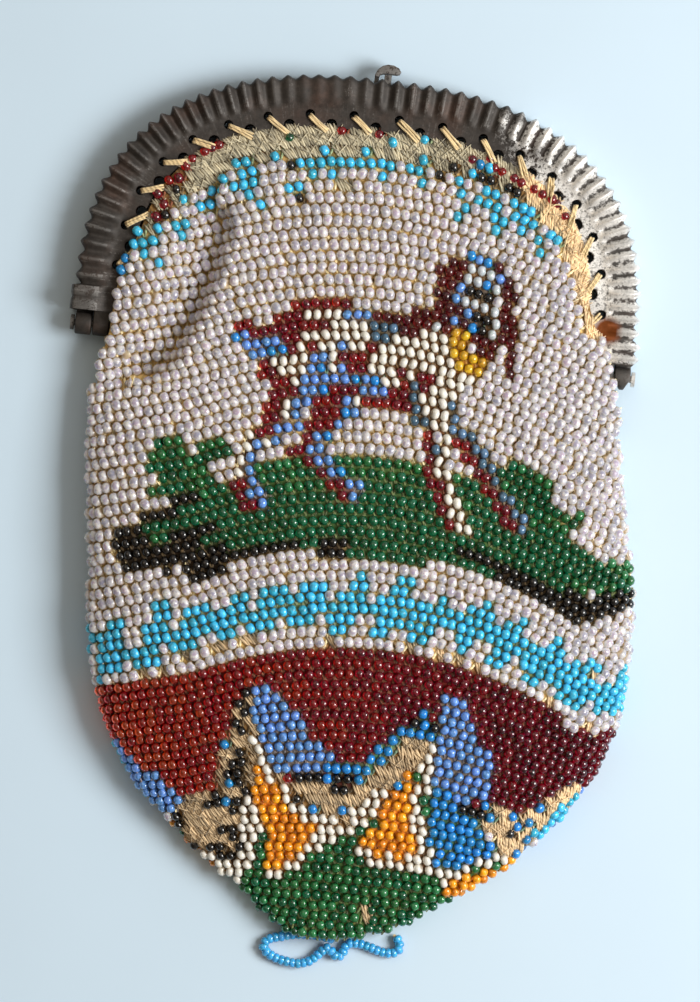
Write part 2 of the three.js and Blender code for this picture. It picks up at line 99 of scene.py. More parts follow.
# Knitted bag
TOP_ROW_Y = 36.33
FOOT_Y = -97.2
BAG_DROP = 97.5
KNIT_INSET = 8.5  # rim to the sewn edge of the knitting
SAG_REACH = 44.0
CROWN_X, CROWN_DRIFT, CROWN_SPAN = 4.2, 0.105, (1.0, 9.5)  # highest place of a row, and how it moves
EDGE_INSETS = (9.2, 10.4)  # bare stitches that fill the sewn edge
ROW_SHIFT = 0.14  # every other row lies this share of a stitch further along
END_SPACE = 0.3  # share of a stitch left free at the ends of a row
LEAN, LEAN_FALL = 6.4, 55.0  # how far the foot hangs to the right, and the fall over which it gets there
CROWN_HEIGHT, HINGE_HEIGHT, BELLY_HEIGHT, FOOT_HEIGHT = 6.0, 8.5, 13.0, 5.0  # of the front, above the table
PUFF = 2.2  # squareness of the front's section
BACK_LIFT = 0.1
TABLE_GAP = 0.02  # least height of a bead or a strand over the table

# Outline of the bag seen from the front: heights above the base line and the two sides
LEFT_SIDE = [
    (-97.2, 3.0), (-96.9, -1.8), (-95.3, -4.3), (-93.6, -6.5), (-91.4, -8.6), (-89.4, -11), (-88, -13.6),
    (-84, -19), (-80, -23.5), (-75, -28.8), (-70, -32.4), (-65, -35.2), (-59, -37.3), (-55, -38.6),
    (-50, -39.5), (-40, -40.3), (-30, -41.6), (-20, -42.7), (-10, -43.2), (-5, -42.7), (0, -41.6),
    (6, -41.3), (12, -40.4), (16, -38.6),
]
RIGHT_SIDE = [
    (-97.2, 9.5), (-96.3, 13.5), (-95, 17), (-93, 20.3), (-91, 23), (-87, 29), (-84, 33), (-81, 36.5),
    (-78, 39), (-74, 42.5), (-70, 45), (-65, 48), (-60, 49.8), (-55, 51), (-50, 51.4), (-45, 51.5),
    (-33, 51), (-29, 50), (-25, 49), (-20, 48), (-15, 47), (-10, 46.2), (-5, 45.7), (0, 44.5), (6, 42),
    (12, 39.6), (16, 38.4),
]
SEWN_FROM = 18.0  # above this height the knitting's edge follows the arch
# The back stays inside the hinge
BACK_NECK = [(-6.5, None), (-2.8, 38.0), (2, 37.8), (16, 37.2)]
# Share of the row height: the rows crowd in the picture and towards the foot
ROW_SHARE = [
    (-97.2, 0.77), (-84, 0.79), (-77, 0.82), (-70, 0.88), (-64, 0.91), (-57, 0.84), (-48, 0.86),
    (-44, 0.93), (-38, 0.87), (-31, 0.89), (-24, 0.97), (-10, 0.97), (-6, 0.94), (-4, 0.87), (8.5, 0.87),
    (10.5, 0.96), (40, 0.96),
]
SAG_TABLE = [(-97.2, 0.8), (-90, 3.5), (-80, 7), (-68, 11.5), (-54, 14.5), (-44, 15), (40, 15)]
LEFT_TURN = 30.0  # further to the left of its crown a row runs straight
LEFT_SLOPE = 0.018
EDGE_TABLE = [
    (-97.2, 2.6), (-75, 3.6), (-54, 4.6), (-9, 4.6), (-3, 5.9), (2, 6.4), (14, 6.4), (20, 6.0), (40, 6.0),
]
# Creases pressed into the front: line from the top down, depth, and half width to the left and the right
CREASES = [
    ([(-24.5, 21.2), (-24.2, 18.2), (-25.6, 11), (-27.75, 4.1), (-30.9, -2.3), (-34.1, -5.5)], 3.6, 4.6, 1.9),
    ([(24, -8), (32, -24)], 0.9, 4.5, 4.5),
]


def linear(hex_colour):
    """An sRGB hex colour as linear red, green and blue."""
    channels = [int(hex_colour[i:i + 2], 16) / 255 for i in (1, 3, 5)]
    return tuple(c / 12.92 if c <= 0.04045 else ((c + 0.055) / 1.055) ** 2.4 for c in channels)


def colour(label, hex_colour, what):
    return FloatVectorProperty(
        name=label, description=what, default=linear(hex_colour), size=3, min=0, max=1, subtype="COLOR",
    )


def length(label, millimetres, what):
    return FloatProperty(
        name=label, description=what, default=millimetres * MM, min=0, unit="LENGTH", subtype="DISTANCE",
    )


class ReticuleSizes(bpy.types.PropertyGroup):
    bead_diameter: length("Bead diameter", 1.98, "Across a knitted seed bead")
    bead_length: length("Bead length", 1.6, "Along the hole of a knitted seed bead")
    stitch_width: length("Stitch width", 1.667, "From stitch to stitch along a row")
    row_height: length("Row height", 2.04, "From row to row above the hill, where they lie widest apart")
    thread: length("Knitting thread", 0.46, "Thickness of the knitting thread")
    flute_pitch: length("Flute pitch", 2.6, "From crest to crest along the rim")
    flute_depth: length("Flute depth", 1.0, "From crest to valley at the rim")
    sheet: length("Sheet metal", 0.55, "Thickness of the stamped frame")
    hole: length("Sewing hole", 1.6, "Diameter of the sewing holes")
    hole_pitch: length("Hole pitch", 7.9, "From sewing hole to sewing hole")
    sewing_ply: length("Sewing ply", 0.4, "Thickness of one ply of the sewing thread")
    tassel_bead: length("Tassel bead", 1.75, "Diameter of the tassel's beads")
    tassel_thread: length("Tassel thread", 0.5, "Thickness of the tassel's thread")


class ReticuleColours(bpy.types.PropertyGroup):
    opal: colour("Opal", "#F5F3F4", "White clouds in the opal beads of the ground")
    opal_shade: colour("Opal in the shade", "#BEB8CC", "Lavender glass of the opal beads")
    opal_edge: colour("Opal's edge", "#DCC5A0", "Thread seen through the sides of the opal beads")
    turquoise: colour("Turquoise", "#40C4F0", "Opaque turquoise beads")
    tassel: colour("Tassel blue", "#48BCFF", "Bright blue beads of the tassel")
    azure: colour("Azure", "#2090DE", "Deeper blue beads near the foot")
    ruby: colour("Ruby", "#D01630", "Transparent red beads")
    garnet: colour("Garnet", "#8C1C2A", "Darker red beads of the dog's ears")
    chalk: colour("Chalk white", "#E9E6DD", "Opaque white beads")
    periwinkle: colour("Periwinkle", "#70A8F6", "Soft blue beads")
    slate: colour("Slate blue", "#587E9E", "Greyed blue beads")
    leaf: colour("Leaf green", "#2C8248", "Opaque green beads")
    bottle: colour("Bottle green", "#128354", "Transparent dark green beads")
    black: colour("Black", "#0B0A0A", "Black beads")
    amber: colour("Amber", "#FFA41C", "Opaque orange-yellow beads")
    honey: colour("Honey", "#E8B62A", "Golden beads of the dog's collar")
    mist: colour("Mist", "#CDD6DC", "Cool white beads of the dog's face")
    thread: colour("Knitting thread", "#F2D8A6", "Tan silk that the beads are knitted with")
    ground: colour("Knit in the shade", "#D4AC6C", "The knitting between and under the beads")
    bare: colour("Bare thread", "#CDB795", "Greyed silk of the stitches that lost their beads")
    sewing: colour("Sewing thread", "#E6CC9A", "Cream thread that sews the bag to the frame")
    metal: colour("Bare metal", "#ECEBE8", "Worn metal of the frame")
    tarnish: colour("Tarnish", "#332E2A", "Dark tarnish on the frame")
    rust: colour("Rust", "#7C4016", "Red-brown bloom on the frame")
    floor: colour("Floor", "#C5DAEA", "Pale table top")


def sizes():
    return bpy.context.scene.reticule_sizes


def colours():
    return bpy.context.scene.reticule_colours


def in_row(points):
    """Points in the frame's own millimetres as points of the model, in metres."""
    return np.asarray(points, float) * MM + ORIGIN


def smooth(low, high, x):
    t = np.clip((x - low) / (high - low), 0, 1)
    return t * t * (3 - 2 * t)


def table(rows, x):
    known = np.array(rows, float)
    return np.interp(x, known[:, 0], known[:, 1])


def run_of(line):
    """Distance along a line to each of its points."""
    return np.concatenate([[0], np.cumsum(np.linalg.norm(np.diff(line, axis=0), axis=1))])


def along_line(places, run, line):
    """Points of a line at some distances along it."""
    return np.stack([np.interp(places, run, line[:, k]) for k in range(line.shape[1])], -1)


def refine(knots, per_span):
    """Smooth Catmull-Rom lines through the knots along axis 1."""
    p = np.concatenate([2 * knots[:, :1] - knots[:, 1:2], knots, 2 * knots[:, -1:] - knots[:, -2:-1]], 1)
    t = np.linspace(0, 1, per_span, endpoint=False)[None, :, None]
    spans = []
    for k in range(knots.shape[1] - 1):
        a, b, c, d = (p[:, k + i][:, None] for i in range(4))
        square, cube = 2 * a - 5 * b + 4 * c - d, 3 * b - a - 3 * c + d
        spans.append(0.5 * (2 * b + (c - a) * t + square * t ** 2 + cube * t ** 3))
    return np.concatenate([*spans, knots[:, -1:]], 1)


def smooth_line(points, per_span):
    """A smooth line through points."""
    return refine(np.array(points, float)[None], per_span)[0]


# The arch

def arch_table():
    """Equal steps along the rim, from the right leg over the crown to the left leg, with inward normals."""
    t = np.linspace(0, 1, 6001)
    across = np.cos(np.pi * t)
    power = 2 / ARCH_SQUARENESS
    line = np.stack([
        ARCH_HALF_WIDTH * np.sign(across) * np.abs(across) ** power,
        ARCH_BASE + ARCH_RISE * np.abs(np.sin(np.pi * t)) ** power,
    ], 1)
    run = run_of(line)
    points = along_line(np.linspace(0, run[-1], 1201), run, line)
    tangent = np.gradient(points, axis=0)
    tangent /= np.linalg.norm(tangent, axis=1)[:, None]
    return run[-1], np.linspace(0, 1, 1201), points, np.stack([-tangent[:, 1], tangent[:, 0]], 1)


ARCH_LENGTH, ARCH_U, ARCH_POINTS, ARCH_INWARD = arch_table()


def on_arch(u, inward):
    """Places on the arch: u along it, and the distance in from the rim."""
    normal = along_line(u, ARCH_U, ARCH_INWARD)
    return along_line(u, ARCH_U, ARCH_POINTS) + normal * np.asarray(inward)[..., None]


# The bag's surface

def outlines():
    sewn = on_arch(ARCH_U, np.full(len(ARCH_U), KNIT_INSET))
    right = sewn[(ARCH_U < 0.5) & (sewn[:, 1] > SEWN_FROM)]
    left = sewn[(ARCH_U > 0.5) & (sewn[:, 1] > SEWN_FROM)][::-1]
    sides = {}
    for hand, shown, arch in (("left", LEFT_SIDE, left), ("right", RIGHT_SIDE, right)):
        top = [(y, x) for x, y in arch]
        sides[FRONT, hand] = np.array(shown + top)
        sign = -1 if hand == "left" else 1
        low = [p for p in shown if p[0] < BACK_NECK[0][0]]
        neck = [(y, sign * x) for y, x in BACK_NECK if x]
        sides[BACK, hand] = np.array(low + neck + top)
    return sides


OUTLINES = outlines()


def edges(y, face):
    left, right = OUTLINES[face, "left"], OUTLINES[face, "right"]
    return np.interp(y, left[:, 0], left[:, 1]), np.interp(y, right[:, 0], right[:, 1])


def lean(y):
    """How far the bag's middle hangs to the right of the frame's."""
    return LEAN * np.sin((np.pi / 2) * np.clip(-y / LEAN_FALL, 0, 1))


def across(x, y, face):
    left, right = edges(y, face)
    return np.clip((x - (left + right) / 2) / np.maximum((right - left) / 2, 0.05), -1, 1)


def crease_dip(x, y):
    dip = np.zeros_like(x)
    for line, depth, left, right in CREASES:
        nearest = np.full_like(x, 1e9)
        reach = np.full_like(x, left)
        for a, b in zip(np.array(line[:-1], float), np.array(line[1:], float)):
            d = b - a
            t = np.clip(((x - a[0]) * d[0] + (y - a[1]) * d[1]) / (d @ d), 0, 1)
            away = np.hypot(x - a[0] - t * d[0], y - a[1] - t * d[1])
            rightwards = d[0] * (y - a[1]) > d[1] * (x - a[0])
            reach = np.where(away < nearest, np.where(rightwards, right, left), reach)
            nearest = np.minimum(nearest, away)
        dip += depth * np.exp(-(nearest / reach) ** 2)
    return dip


def height(x, y, face):
    """Height of the bag's outside above the table, on its front or its back."""
    s = across(x, y, face)
    t = -y / BAG_DROP
    edge = table(EDGE_TABLE, y)
    if face == FRONT:
        puff = (1 - np.abs(s) ** PUFF) ** (1 / PUFF)
        full = HINGE_HEIGHT + (BELLY_HEIGHT - HINGE_HEIGHT) * smooth(0, 0.35, t)
        top = full + (FOOT_HEIGHT - full) * smooth(0.55, 1, t)
        fall = np.cos((np.pi / 2) * np.clip(y / TOP_ROW_Y, 0, 1))
        arch = CROWN_HEIGHT + (HINGE_HEIGHT - CROWN_HEIGHT) * fall
        top = np.where(y > 0, arch, top)
        return edge + (top - edge) * puff - crease_dip(x, y) * np.minimum(1, 2 * puff)
    flat = 0.97 - 0.22 * smooth(0, 0.35, t)
    side = 1 - np.sqrt(1 - np.clip((np.abs(s) - flat) / (1 - flat), 0, 1) ** 2)
    foot = 1 - np.sqrt(1 - np.clip((t - 0.86) / 0.14, 0, 1) ** 2)
    rise = np.where(y > -2.6, 0, edge)
    return BACK_LIFT + rise * (1 - (1 - side) * (1 - foot))


def outward(x, y, face, steepest=5.0):
    step = 0.12
    slope_x = (height(x + step, y, face) - height(x - step, y, face)) / (2 * step)
    slope_y = (height(x, y + step, face) - height(x, y - step, face)) / (2 * step)
    slopes = [np.clip(slope, -steepest, steepest) for slope in (slope_x, slope_y)]
    normal = np.stack([-slopes[0], -slopes[1], np.ones_like(x)], -1)
    normal /= np.linalg.norm(normal, axis=-1)[..., None]
    return normal if face == FRONT else -normal


def crown(row_y):
    """Where a row lies highest: further to the right towards the foot."""
    return np.clip(CROWN_X - CROWN_DRIFT * row_y, *CROWN_SPAN)


def droop(x, row_y):
    """How far a row hangs below its crown."""
    away = x - crown(row_y)
    near = np.maximum(away, -LEFT_TURN)
    return table(SAG_TABLE, row_y) * ((near / SAG_REACH) ** 2 + LEFT_SLOPE * (near - away))


def row_line(row_y, s, face):
    """Plan of one knitted row: it droops to both sides."""
    y = np.full_like(s, row_y)
    for _ in range(40):
        left, right = edges(y, face)
        x = (left + right) / 2 + s * (right - left) / 2
        y = (y + row_y - droop(x, row_y)) / 2
    return x, y


def bag_point(row_y, s, face, inset):
    """Points of the bag along a row, set in from its outside."""
    x, y = row_line(row_y, s, face)
    z = height(x, y, face)
    return np.stack([x, y, z], -1) - inset * outward(x, y, face, 1.6)


def row_heights():
    """Rows from the frame to the foot."""
    rows = [TOP_ROW_Y]
    while rows[-1] > FOOT_Y + 0.6:
        rows.append(rows[-1] - sizes().row_height / MM * table(ROW_SHARE, rows[-1]))
    return np.array(rows[:-1])


def lay_stitches(face):
    """Places of all stitches on one face: points, directions along the rows, normals and row numbers."""
    pitch = sizes().stitch_width / MM
    s = -np.cos(np.linspace(0, np.pi, 241))
    points, along, rows = [], [], []
    for number, row_y in enumerate(row_heights()):
        line = bag_point(row_y, s, face, 0)
        run = run_of(line)
        if run[-1] < pitch:
            continue
        middle = np.interp(lean(row_y), line[:, 0], run)
        start = middle + (ROW_SHIFT if number % 2 else -ROW_SHIFT) * pitch
        low = math.ceil((run[0] + END_SPACE * pitch - start) / pitch)
        high = math.floor((run[-1] - END_SPACE * pitch - start) / pitch)
        place = start + np.arange(low, high + 1) * pitch
        points.append(along_line(place, run, line))
        along.append(along_line(place + 0.3, run, line) - along_line(place - 0.3, run, line))
        rows.append(np.full(len(place), number))
    # Bare stitches along the sewn edge
    for inset in EDGE_INSETS:
        u = np.arange(0.06, 0.8, pitch / ARCH_LENGTH)
        edge = on_arch(u, np.full(len(u), inset))
        points.append(np.column_stack([edge, height(edge[:, 0], edge[:, 1], face)]))
        along.append(np.column_stack([on_arch(u - 0.002, np.full(len(u), inset)) - edge, np.zeros(len(u))]))
        rows.append(np.full(len(u), -1))
    points, along, rows = np.concatenate(points), np.concatenate(along), np.concatenate(rows)
    along /= np.linalg.norm(along, axis=1)[:, None]
    return points, along, outward(points[:, 0], points[:, 1], face), rows


# The picture on the bag, drawn in sixths of a millimetre on the front view, y down

VIEW_UNIT = 6.0
VIEW_TURN = math.radians(5.91)
VIEW_X, VIEW_Y = 358.0, 357.0
VIEW_SHIFT = 1.0


def on_view(x, y):
    """Frame millimetres as places on the front view."""
    c, s = math.cos(VIEW_TURN), math.sin(VIEW_TURN)
    across_mm = x - VIEW_SHIFT
    return np.stack([
        VIEW_X + VIEW_UNIT * (across_mm * c + y * s),
        VIEW_Y + VIEW_UNIT * (across_mm * s - y * c),
    ], -1)


BARE = "bare"

# Bands that run round the bag: closed fields first, then strokes with a half width, then single beads
BANDS = [
    (BARE, [
        (60, 300), (60, 60), (640, 60), (640, 330), (598, 336), (586, 334), (578, 300), (566, 262),
        (556, 240), (534, 218), (516, 204), (490, 187), (462, 173), (433, 162), (400, 155), (350, 151),
        (300, 155), (255, 162), (233, 168), (205, 190), (180, 206), (152, 226), (133, 240), (113, 262),
    ]),
    ("turquoise", [
        (85, 618), (92, 620), (93, 636), (100, 632), (104, 621), (122, 620), (125, 643), (139, 643),
        (141, 630), (150, 618), (156, 602), (168, 600), (169, 632), (174, 634), (182, 618), (190, 603),
        (205, 599), (208, 618), (218, 608), (227, 603), (228, 591), (246, 588), (248, 610), (259, 598),
        (267, 583), (285, 581), (287, 603), (297, 589), (306, 582), (326, 579), (328, 601), (338, 591),
        (348, 583), (356, 572), (369, 571), (370, 602), (380, 598), (391, 587), (400, 579), (411, 579),
        (412, 608), (421, 602), (432, 600), (440, 593), (451, 593), (452, 618), (462, 610), (471, 604),
        (490, 604), (491, 630), (498, 626), (507, 616), (525, 618), (526, 644), (533, 643), (542, 647),
        (552, 639), (562, 640), (563, 669), (571, 663), (592, 661), (600, 663), (600, 671), (590, 679),
        (599, 688), (611, 684), (620, 669), (634, 664), (629, 694), (622, 713), (597, 716), (594, 703),
        (582, 701), (572, 709), (560, 705), (552, 697), (555, 686), (548, 681), (533, 683), (521, 683),
        (522, 661), (514, 656), (506, 666), (495, 667), (487, 660), (488, 646), (477, 643), (468, 652),
        (458, 651), (456, 643), (450, 634), (441, 631), (429, 632), (429, 642), (411, 641), (410, 629),
        (403, 618), (398, 626), (389, 627), (389, 637), (370, 637), (369, 627), (376, 625), (369, 613),
        (358, 612), (358, 621), (347, 622), (346, 633), (328, 633), (327, 611), (317, 611), (317, 620),
        (307, 621), (306, 631), (287, 631), (286, 613), (276, 613), (276, 623), (266, 625), (257, 628),
        (248, 628), (247, 618), (238, 619), (238, 631), (228, 634), (218, 636), (208, 635), (208, 629),
        (200, 630), (201, 640), (191, 647), (181, 651), (172, 650), (170, 645), (163, 647), (164, 657),
        (152, 663), (142, 666), (134, 665), (132, 657), (122, 658), (122, 669), (107, 672), (97, 674),
        (93, 668), (95, 640), (90, 650), (85, 650),
    ]),
    ("ruby", [
        (88, 690), (121, 686), (147, 681), (176, 672), (202, 665), (233, 658), (260, 650), (294, 644),
        (325, 644), (366, 646), (398, 650), (417, 655), (460, 665), (494, 676), (523, 692), (551, 709),
        (570, 726), (590, 732), (624, 732), (618, 755), (602, 774), (590, 786), (566, 792), (556, 798),
        (534, 812), (506, 815), (489, 806), (440, 800), (380, 790), (300, 780), (250, 790), (210, 792),
        (182, 797), (140, 775), (100, 735),
    ]),
    ("periwinkle", [
        (249, 682), (268, 680), (284, 696), (296, 710), (304, 722), (315, 739), (327, 754), (338, 762),
        (334, 772), (290, 778), (262, 775), (254, 760), (250, 735), (248, 705),
    ]),
    ("periwinkle", [
        (440, 693), (459, 693), (468, 712), (476, 735), (487, 752), (494, 772), (493, 790), (489, 806),
        (470, 802), (452, 797), (436, 792), (428, 780), (428, 765), (434, 750), (434, 735), (436, 715),
    ]),
    ("periwinkle", [
        (98, 730), (112, 740), (135, 762), (160, 780), (184, 797), (180, 815), (160, 820), (110, 775),
    ]),
    ("leaf", [
        (240, 800), (262, 762), (285, 780), (345, 812), (400, 768), (425, 742), (437, 752), (428, 800),
        (432, 860), (450, 872), (503, 848), (514, 862), (470, 886), (440, 892), (350, 884), (262, 884),
        (234, 892), (198, 868), (194, 852), (212, 858), (240, 848),
    ]),
    (BARE, [
        (239, 688), (250, 684), (251, 705), (254, 735), (252, 765), (253, 800), (243, 800), (241, 832),
        (238, 850), (226, 862), (214, 858), (186, 850), (170, 826), (178, 802), (190, 795), (204, 791),
        (212, 785), (216, 770), (221, 744), (229, 726),
    ]),
    (BARE, [
        (486, 804), (500, 810), (512, 812), (535, 806), (550, 796), (565, 786), (585, 788), (592, 800),
        (572, 808), (552, 816), (540, 830), (530, 850), (512, 858), (500, 852), (494, 842), (484, 834),
        (478, 818),
    ]),
    (BARE, [
        (273, 776), (296, 781), (320, 784), (356, 780), (371, 769), (379, 764), (388, 756), (399, 747),
        (403, 738), (414, 734), (426, 737), (433, 744), (428, 753), (420, 762), (414, 770), (402, 779),
        (388, 788), (381, 794), (368, 808), (352, 820), (340, 826), (328, 821), (314, 814), (303, 808),
        (294, 803), (284, 796),
    ]),
    ("azure", [
        (424, 797), (434, 786), (448, 792), (458, 800), (474, 804), (486, 810), (480, 826), (486, 838),
        (497, 844), (500, 852), (484, 860), (470, 867), (456, 871), (440, 873), (432, 860), (429, 846),
        (426, 832), (427, 812),
    ]),
    ("turquoise", [
        (532, 838), (545, 824), (560, 814), (570, 798), (590, 790), (590, 806), (575, 824), (556, 848),
        (540, 852),
    ]),
    ("amber", [
        (253, 766), (264, 766), (266, 784), (277, 784), (278, 802), (292, 803), (300, 808), (310, 815),
        (322, 826), (319, 834), (310, 846), (301, 849), (296, 862), (284, 866), (266, 868), (266, 845),
        (263, 838), (260, 824), (259, 806), (253, 802),
    ]),
    ("amber", [
        (405, 770), (416, 770), (414, 782), (411, 798), (408, 806), (412, 812), (412, 820), (417, 836),
        (420, 850), (418, 857), (404, 861), (380, 858), (366, 852), (355, 848), (358, 840), (366, 832),
        (375, 826), (375, 806), (386, 792), (396, 784),
    ]),
    ("amber", [
        (445, 886), (462, 879), (478, 877), (500, 868), (512, 861), (530, 849), (542, 850), (534, 866),
        (515, 880), (495, 895), (475, 906), (450, 912), (442, 900),
    ]),
    ("amber", [(204, 866), (222, 868), (224, 880), (212, 880)]),
    ("leaf", [(258, 838), (264, 838), (266, 868), (252, 874), (256, 850)]),
    ("leaf", [
        (232, 886), (252, 864), (268, 874), (284, 876), (302, 868), (318, 854), (328, 842), (348, 832),
        (362, 826), (368, 816), (374, 818), (374, 828), (364, 834), (354, 846), (352, 856), (366, 860),
        (382, 870), (405, 872), (420, 874), (430, 882), (446, 886), (446, 906), (440, 930), (400, 950),
        (350, 955), (300, 955), (258, 935), (234, 905),
    ]),
]
BAND_STROKES = [
    ("turquoise", 5, [(272, 160), (298, 161)]),
    ("turquoise", 5, [(312, 159), (350, 157), (370, 156), (390, 160), (421, 163), (434, 168)]),
    ("chalk", 5.5, [(257, 742), (257, 760)]),
    ("chalk", 5.5, [(269, 765), (271, 780)]),
    ("chalk", 5.5, [(283, 787), (284, 788)]),
    ("chalk", 5.5, [(282, 800), (290, 798), (294, 807), (303, 812), (314, 819), (323, 818)]),
    ("chalk", 5.5, [(323, 827), (325, 836), (317, 840), (317, 848), (309, 851), (300, 854)]),
    ("chalk", 5.5, [(301, 864), (293, 868), (283, 872), (273, 875)]),
    ("chalk", 5.5, [
        (246, 804), (246, 828), (244, 840), (242, 852), (241, 863), (231, 868), (221, 869), (212, 861),
        (199, 857),
    ]),
    ("chalk", 5.5, [
        (254, 812), (256, 823), (255, 835), (252, 849), (251, 859), (240, 874), (232, 878), (234, 883),
    ]),
    ("chalk", 5.5, [(323, 818), (331, 825), (343, 827), (354, 827), (362, 822)]),
    ("chalk", 5.5, [(353, 817), (358, 812), (368, 811)]),
    ("chalk", 5.5, [(367, 803), (372, 797), (381, 794), (380, 801)]),
    ("chalk", 5.5, [(326, 836), (335, 835)]),
    ("chalk", 5.5, [(431, 751), (428, 764), (421, 770), (426, 776), (420, 782), (414, 787)]),
    ("chalk", 5.5, [(422, 790), (417, 797), (411, 806), (420, 809), (414, 817)]),
    ("chalk", 5.5, [(421, 822), (418, 832), (424, 836), (421, 845), (428, 851), (424, 861), (411, 862)]),
    ("chalk", 5.5, [(418, 869), (431, 868), (437, 876), (445, 880), (449, 871)]),
    ("chalk", 5.5, [(458, 877), (466, 870), (478, 864), (490, 862), (503, 857)]),
    ("chalk", 5.5, [(355, 854), (365, 857), (375, 861), (382, 867), (388, 860), (396, 863), (404, 868)]),
    ("azure", 5.5, [(332, 768), (353, 769), (363, 772), (370, 759), (380, 760)]),
    ("azure", 5.5, [(379, 748), (387, 750), (394, 741), (401, 731), (413, 729), (424, 729), (433, 735)]),
    ("black", 5, [(414, 722), (416, 720)]),
    ("black", 5, [(433, 725), (435, 722)]),
    ("black", 6, [(336, 784), (350, 784), (345, 791)]),
    ("black", 5, [(243, 692), (238, 730)]),
    ("black", 6, [(242, 757), (232, 762), (226, 772), (238, 772), (240, 788)]),
    ("black", 5, [
        (219, 832), (231, 830), (230, 839), (236, 846), (234, 856), (224, 859), (217, 850), (212, 846),
    ]),
    ("black", 5, [(214, 794), (219, 800), (212, 806)]),
    ("black", 5, [(458, 806), (478, 812)]),
    ("black", 4, [(298, 780), (318, 780)]),
]
BAND_BEADS = [
    ("turquoise", [
        (245, 156), (235, 165), (224, 173), (243, 170), (253, 166), (254, 177), (244, 181), (236, 186),
        (246, 193), (260, 200), (217, 186), (207, 191), (211, 199), (201, 207), (188, 200), (181, 203),
        (185, 219), (177, 224), (183, 233), (154, 226), (141, 229), (151, 237), (133, 239), (144, 243),
        (139, 249), (163, 259), (273, 150), (322, 146), (367, 146), (391, 148), (424, 139), (317, 170),
        (335, 168), (357, 168), (368, 168), (379, 170), (411, 172), (422, 174), (380, 181), (289, 184),
        (299, 183), (424, 186), (441, 181), (453, 183), (461, 176), (469, 173), (461, 187), (491, 170),
        (463, 202), (463, 214), (480, 196), (490, 191), (489, 202), (499, 197), (499, 205), (491, 213),
        (500, 218), (499, 231), (516, 205), (525, 209), (514, 215), (534, 216), (525, 220), (535, 225),
        (525, 233), (536, 236), (552, 235), (559, 240), (534, 254),
    ]),
    ("azure", [(481, 164), (124, 250), (115, 262)]),
    ("ruby", [
        (218, 136), (211, 148), (203, 154), (186, 151), (184, 165), (176, 175), (162, 178), (160, 192),
        (162, 199), (157, 213), (338, 124), (380, 128),
    ]),
    ("ruby", [
        (471, 156), (489, 160), (496, 165), (502, 171), (511, 178), (521, 184), (534, 187), (542, 193),
        (557, 197), (559, 206), (565, 217),
    ]),
    ("black", [
        (287, 170), (301, 193), (177, 184), (162, 215), (452, 163), (445, 171), (482, 178), (492, 181),
        (506, 186), (515, 191),
    ]),
    ("black", [
        (301, 795), (173, 816), (177, 830), (192, 847), (511, 839), (141, 672), (236, 798), (234, 815),
    ]),
    ("azure", [
        (227, 742), (226, 784), (224, 806), (313, 806), (333, 776), (360, 778), (427, 714), (338, 812),
        (394, 781), (484, 810), (494, 816), (465, 820), (514, 820), (521, 826), (528, 819), (536, 810),
        (525, 843), (513, 857),
    ]),
    ("bottle", [(291, 136)]),
    ("turquoise", [(102, 684)]),
    (BARE, [
        (338, 183), (344, 190), (181, 656), (163, 666), (218, 643), (218, 652), (247, 636), (257, 636),
        (141, 678), (332, 639), (411, 648), (440, 650), (454, 657), (478, 668), (545, 700), (590, 674),
        (590, 725), (358, 914), (360, 922), (225, 847),
    ]),
]

# The hill with its bushes
HILL = [
    ("leaf", [
        (163, 430), (172, 431), (182, 439), (190, 452), (200, 442), (218, 438), (230, 448), (224, 458),
        (206, 460), (212, 470), (222, 480), (232, 482), (258, 462), (272, 458), (330, 453), (380, 456),
        (410, 461), (445, 470), (470, 481), (490, 487), (500, 472), (512, 463), (524, 470), (533, 474),
        (541, 467), (549, 478), (556, 490), (550, 500), (562, 508), (580, 515), (576, 524), (562, 530),
        (585, 546), (604, 560), (640, 564), (640, 590), (615, 598), (590, 594), (560, 592), (500, 581),
        (480, 575), (440, 565), (400, 560), (350, 556), (352, 546), (240, 554), (215, 542), (160, 546),
        (140, 531), (150, 520), (182, 508), (200, 505), (182, 500), (165, 494), (145, 498), (147, 488),
        (158, 480), (147, 472), (150, 462), (143, 455), (156, 444),
    ]),
    ("bottle", [
        (150, 522), (200, 500), (236, 505), (300, 490), (330, 492), (400, 478), (440, 500), (470, 508),
        (520, 520), (560, 535), (590, 556), (600, 575), (560, 585), (500, 580), (440, 565), (400, 560),
        (350, 556), (352, 546), (240, 552), (215, 540), (160, 545),
    ]),
    ("bottle", [(158, 466), (185, 462), (196, 480), (176, 492), (160, 484)]),
    ("bottle", [(508, 482), (535, 480), (552, 500), (545, 520), (520, 512)]),
    ("black", [
        (110, 534), (130, 524), (142, 531), (152, 540), (168, 546), (184, 538), (206, 546), (235, 546),
        (260, 547), (350, 540), (354, 553), (300, 554), (250, 558), (226, 568), (205, 577), (186, 580),
        (176, 568), (165, 574), (150, 568), (120, 570), (116, 556), (106, 545),
    ]),
    ("black", [
        (456, 548), (475, 552), (497, 558), (530, 574), (560, 588), (590, 595), (615, 594), (640, 588),
        (641, 598), (628, 610), (605, 615), (580, 623), (565, 620), (540, 604), (515, 586), (496, 578),
        (500, 570), (470, 561),
    ]),
]
HILL_STROKES = [
    ("black", 4, [(145, 516), (178, 509)]),
    ("black", 4, [(172, 500), (193, 494)]),
    ("black", 4, [(174, 538), (219, 527)]),
]

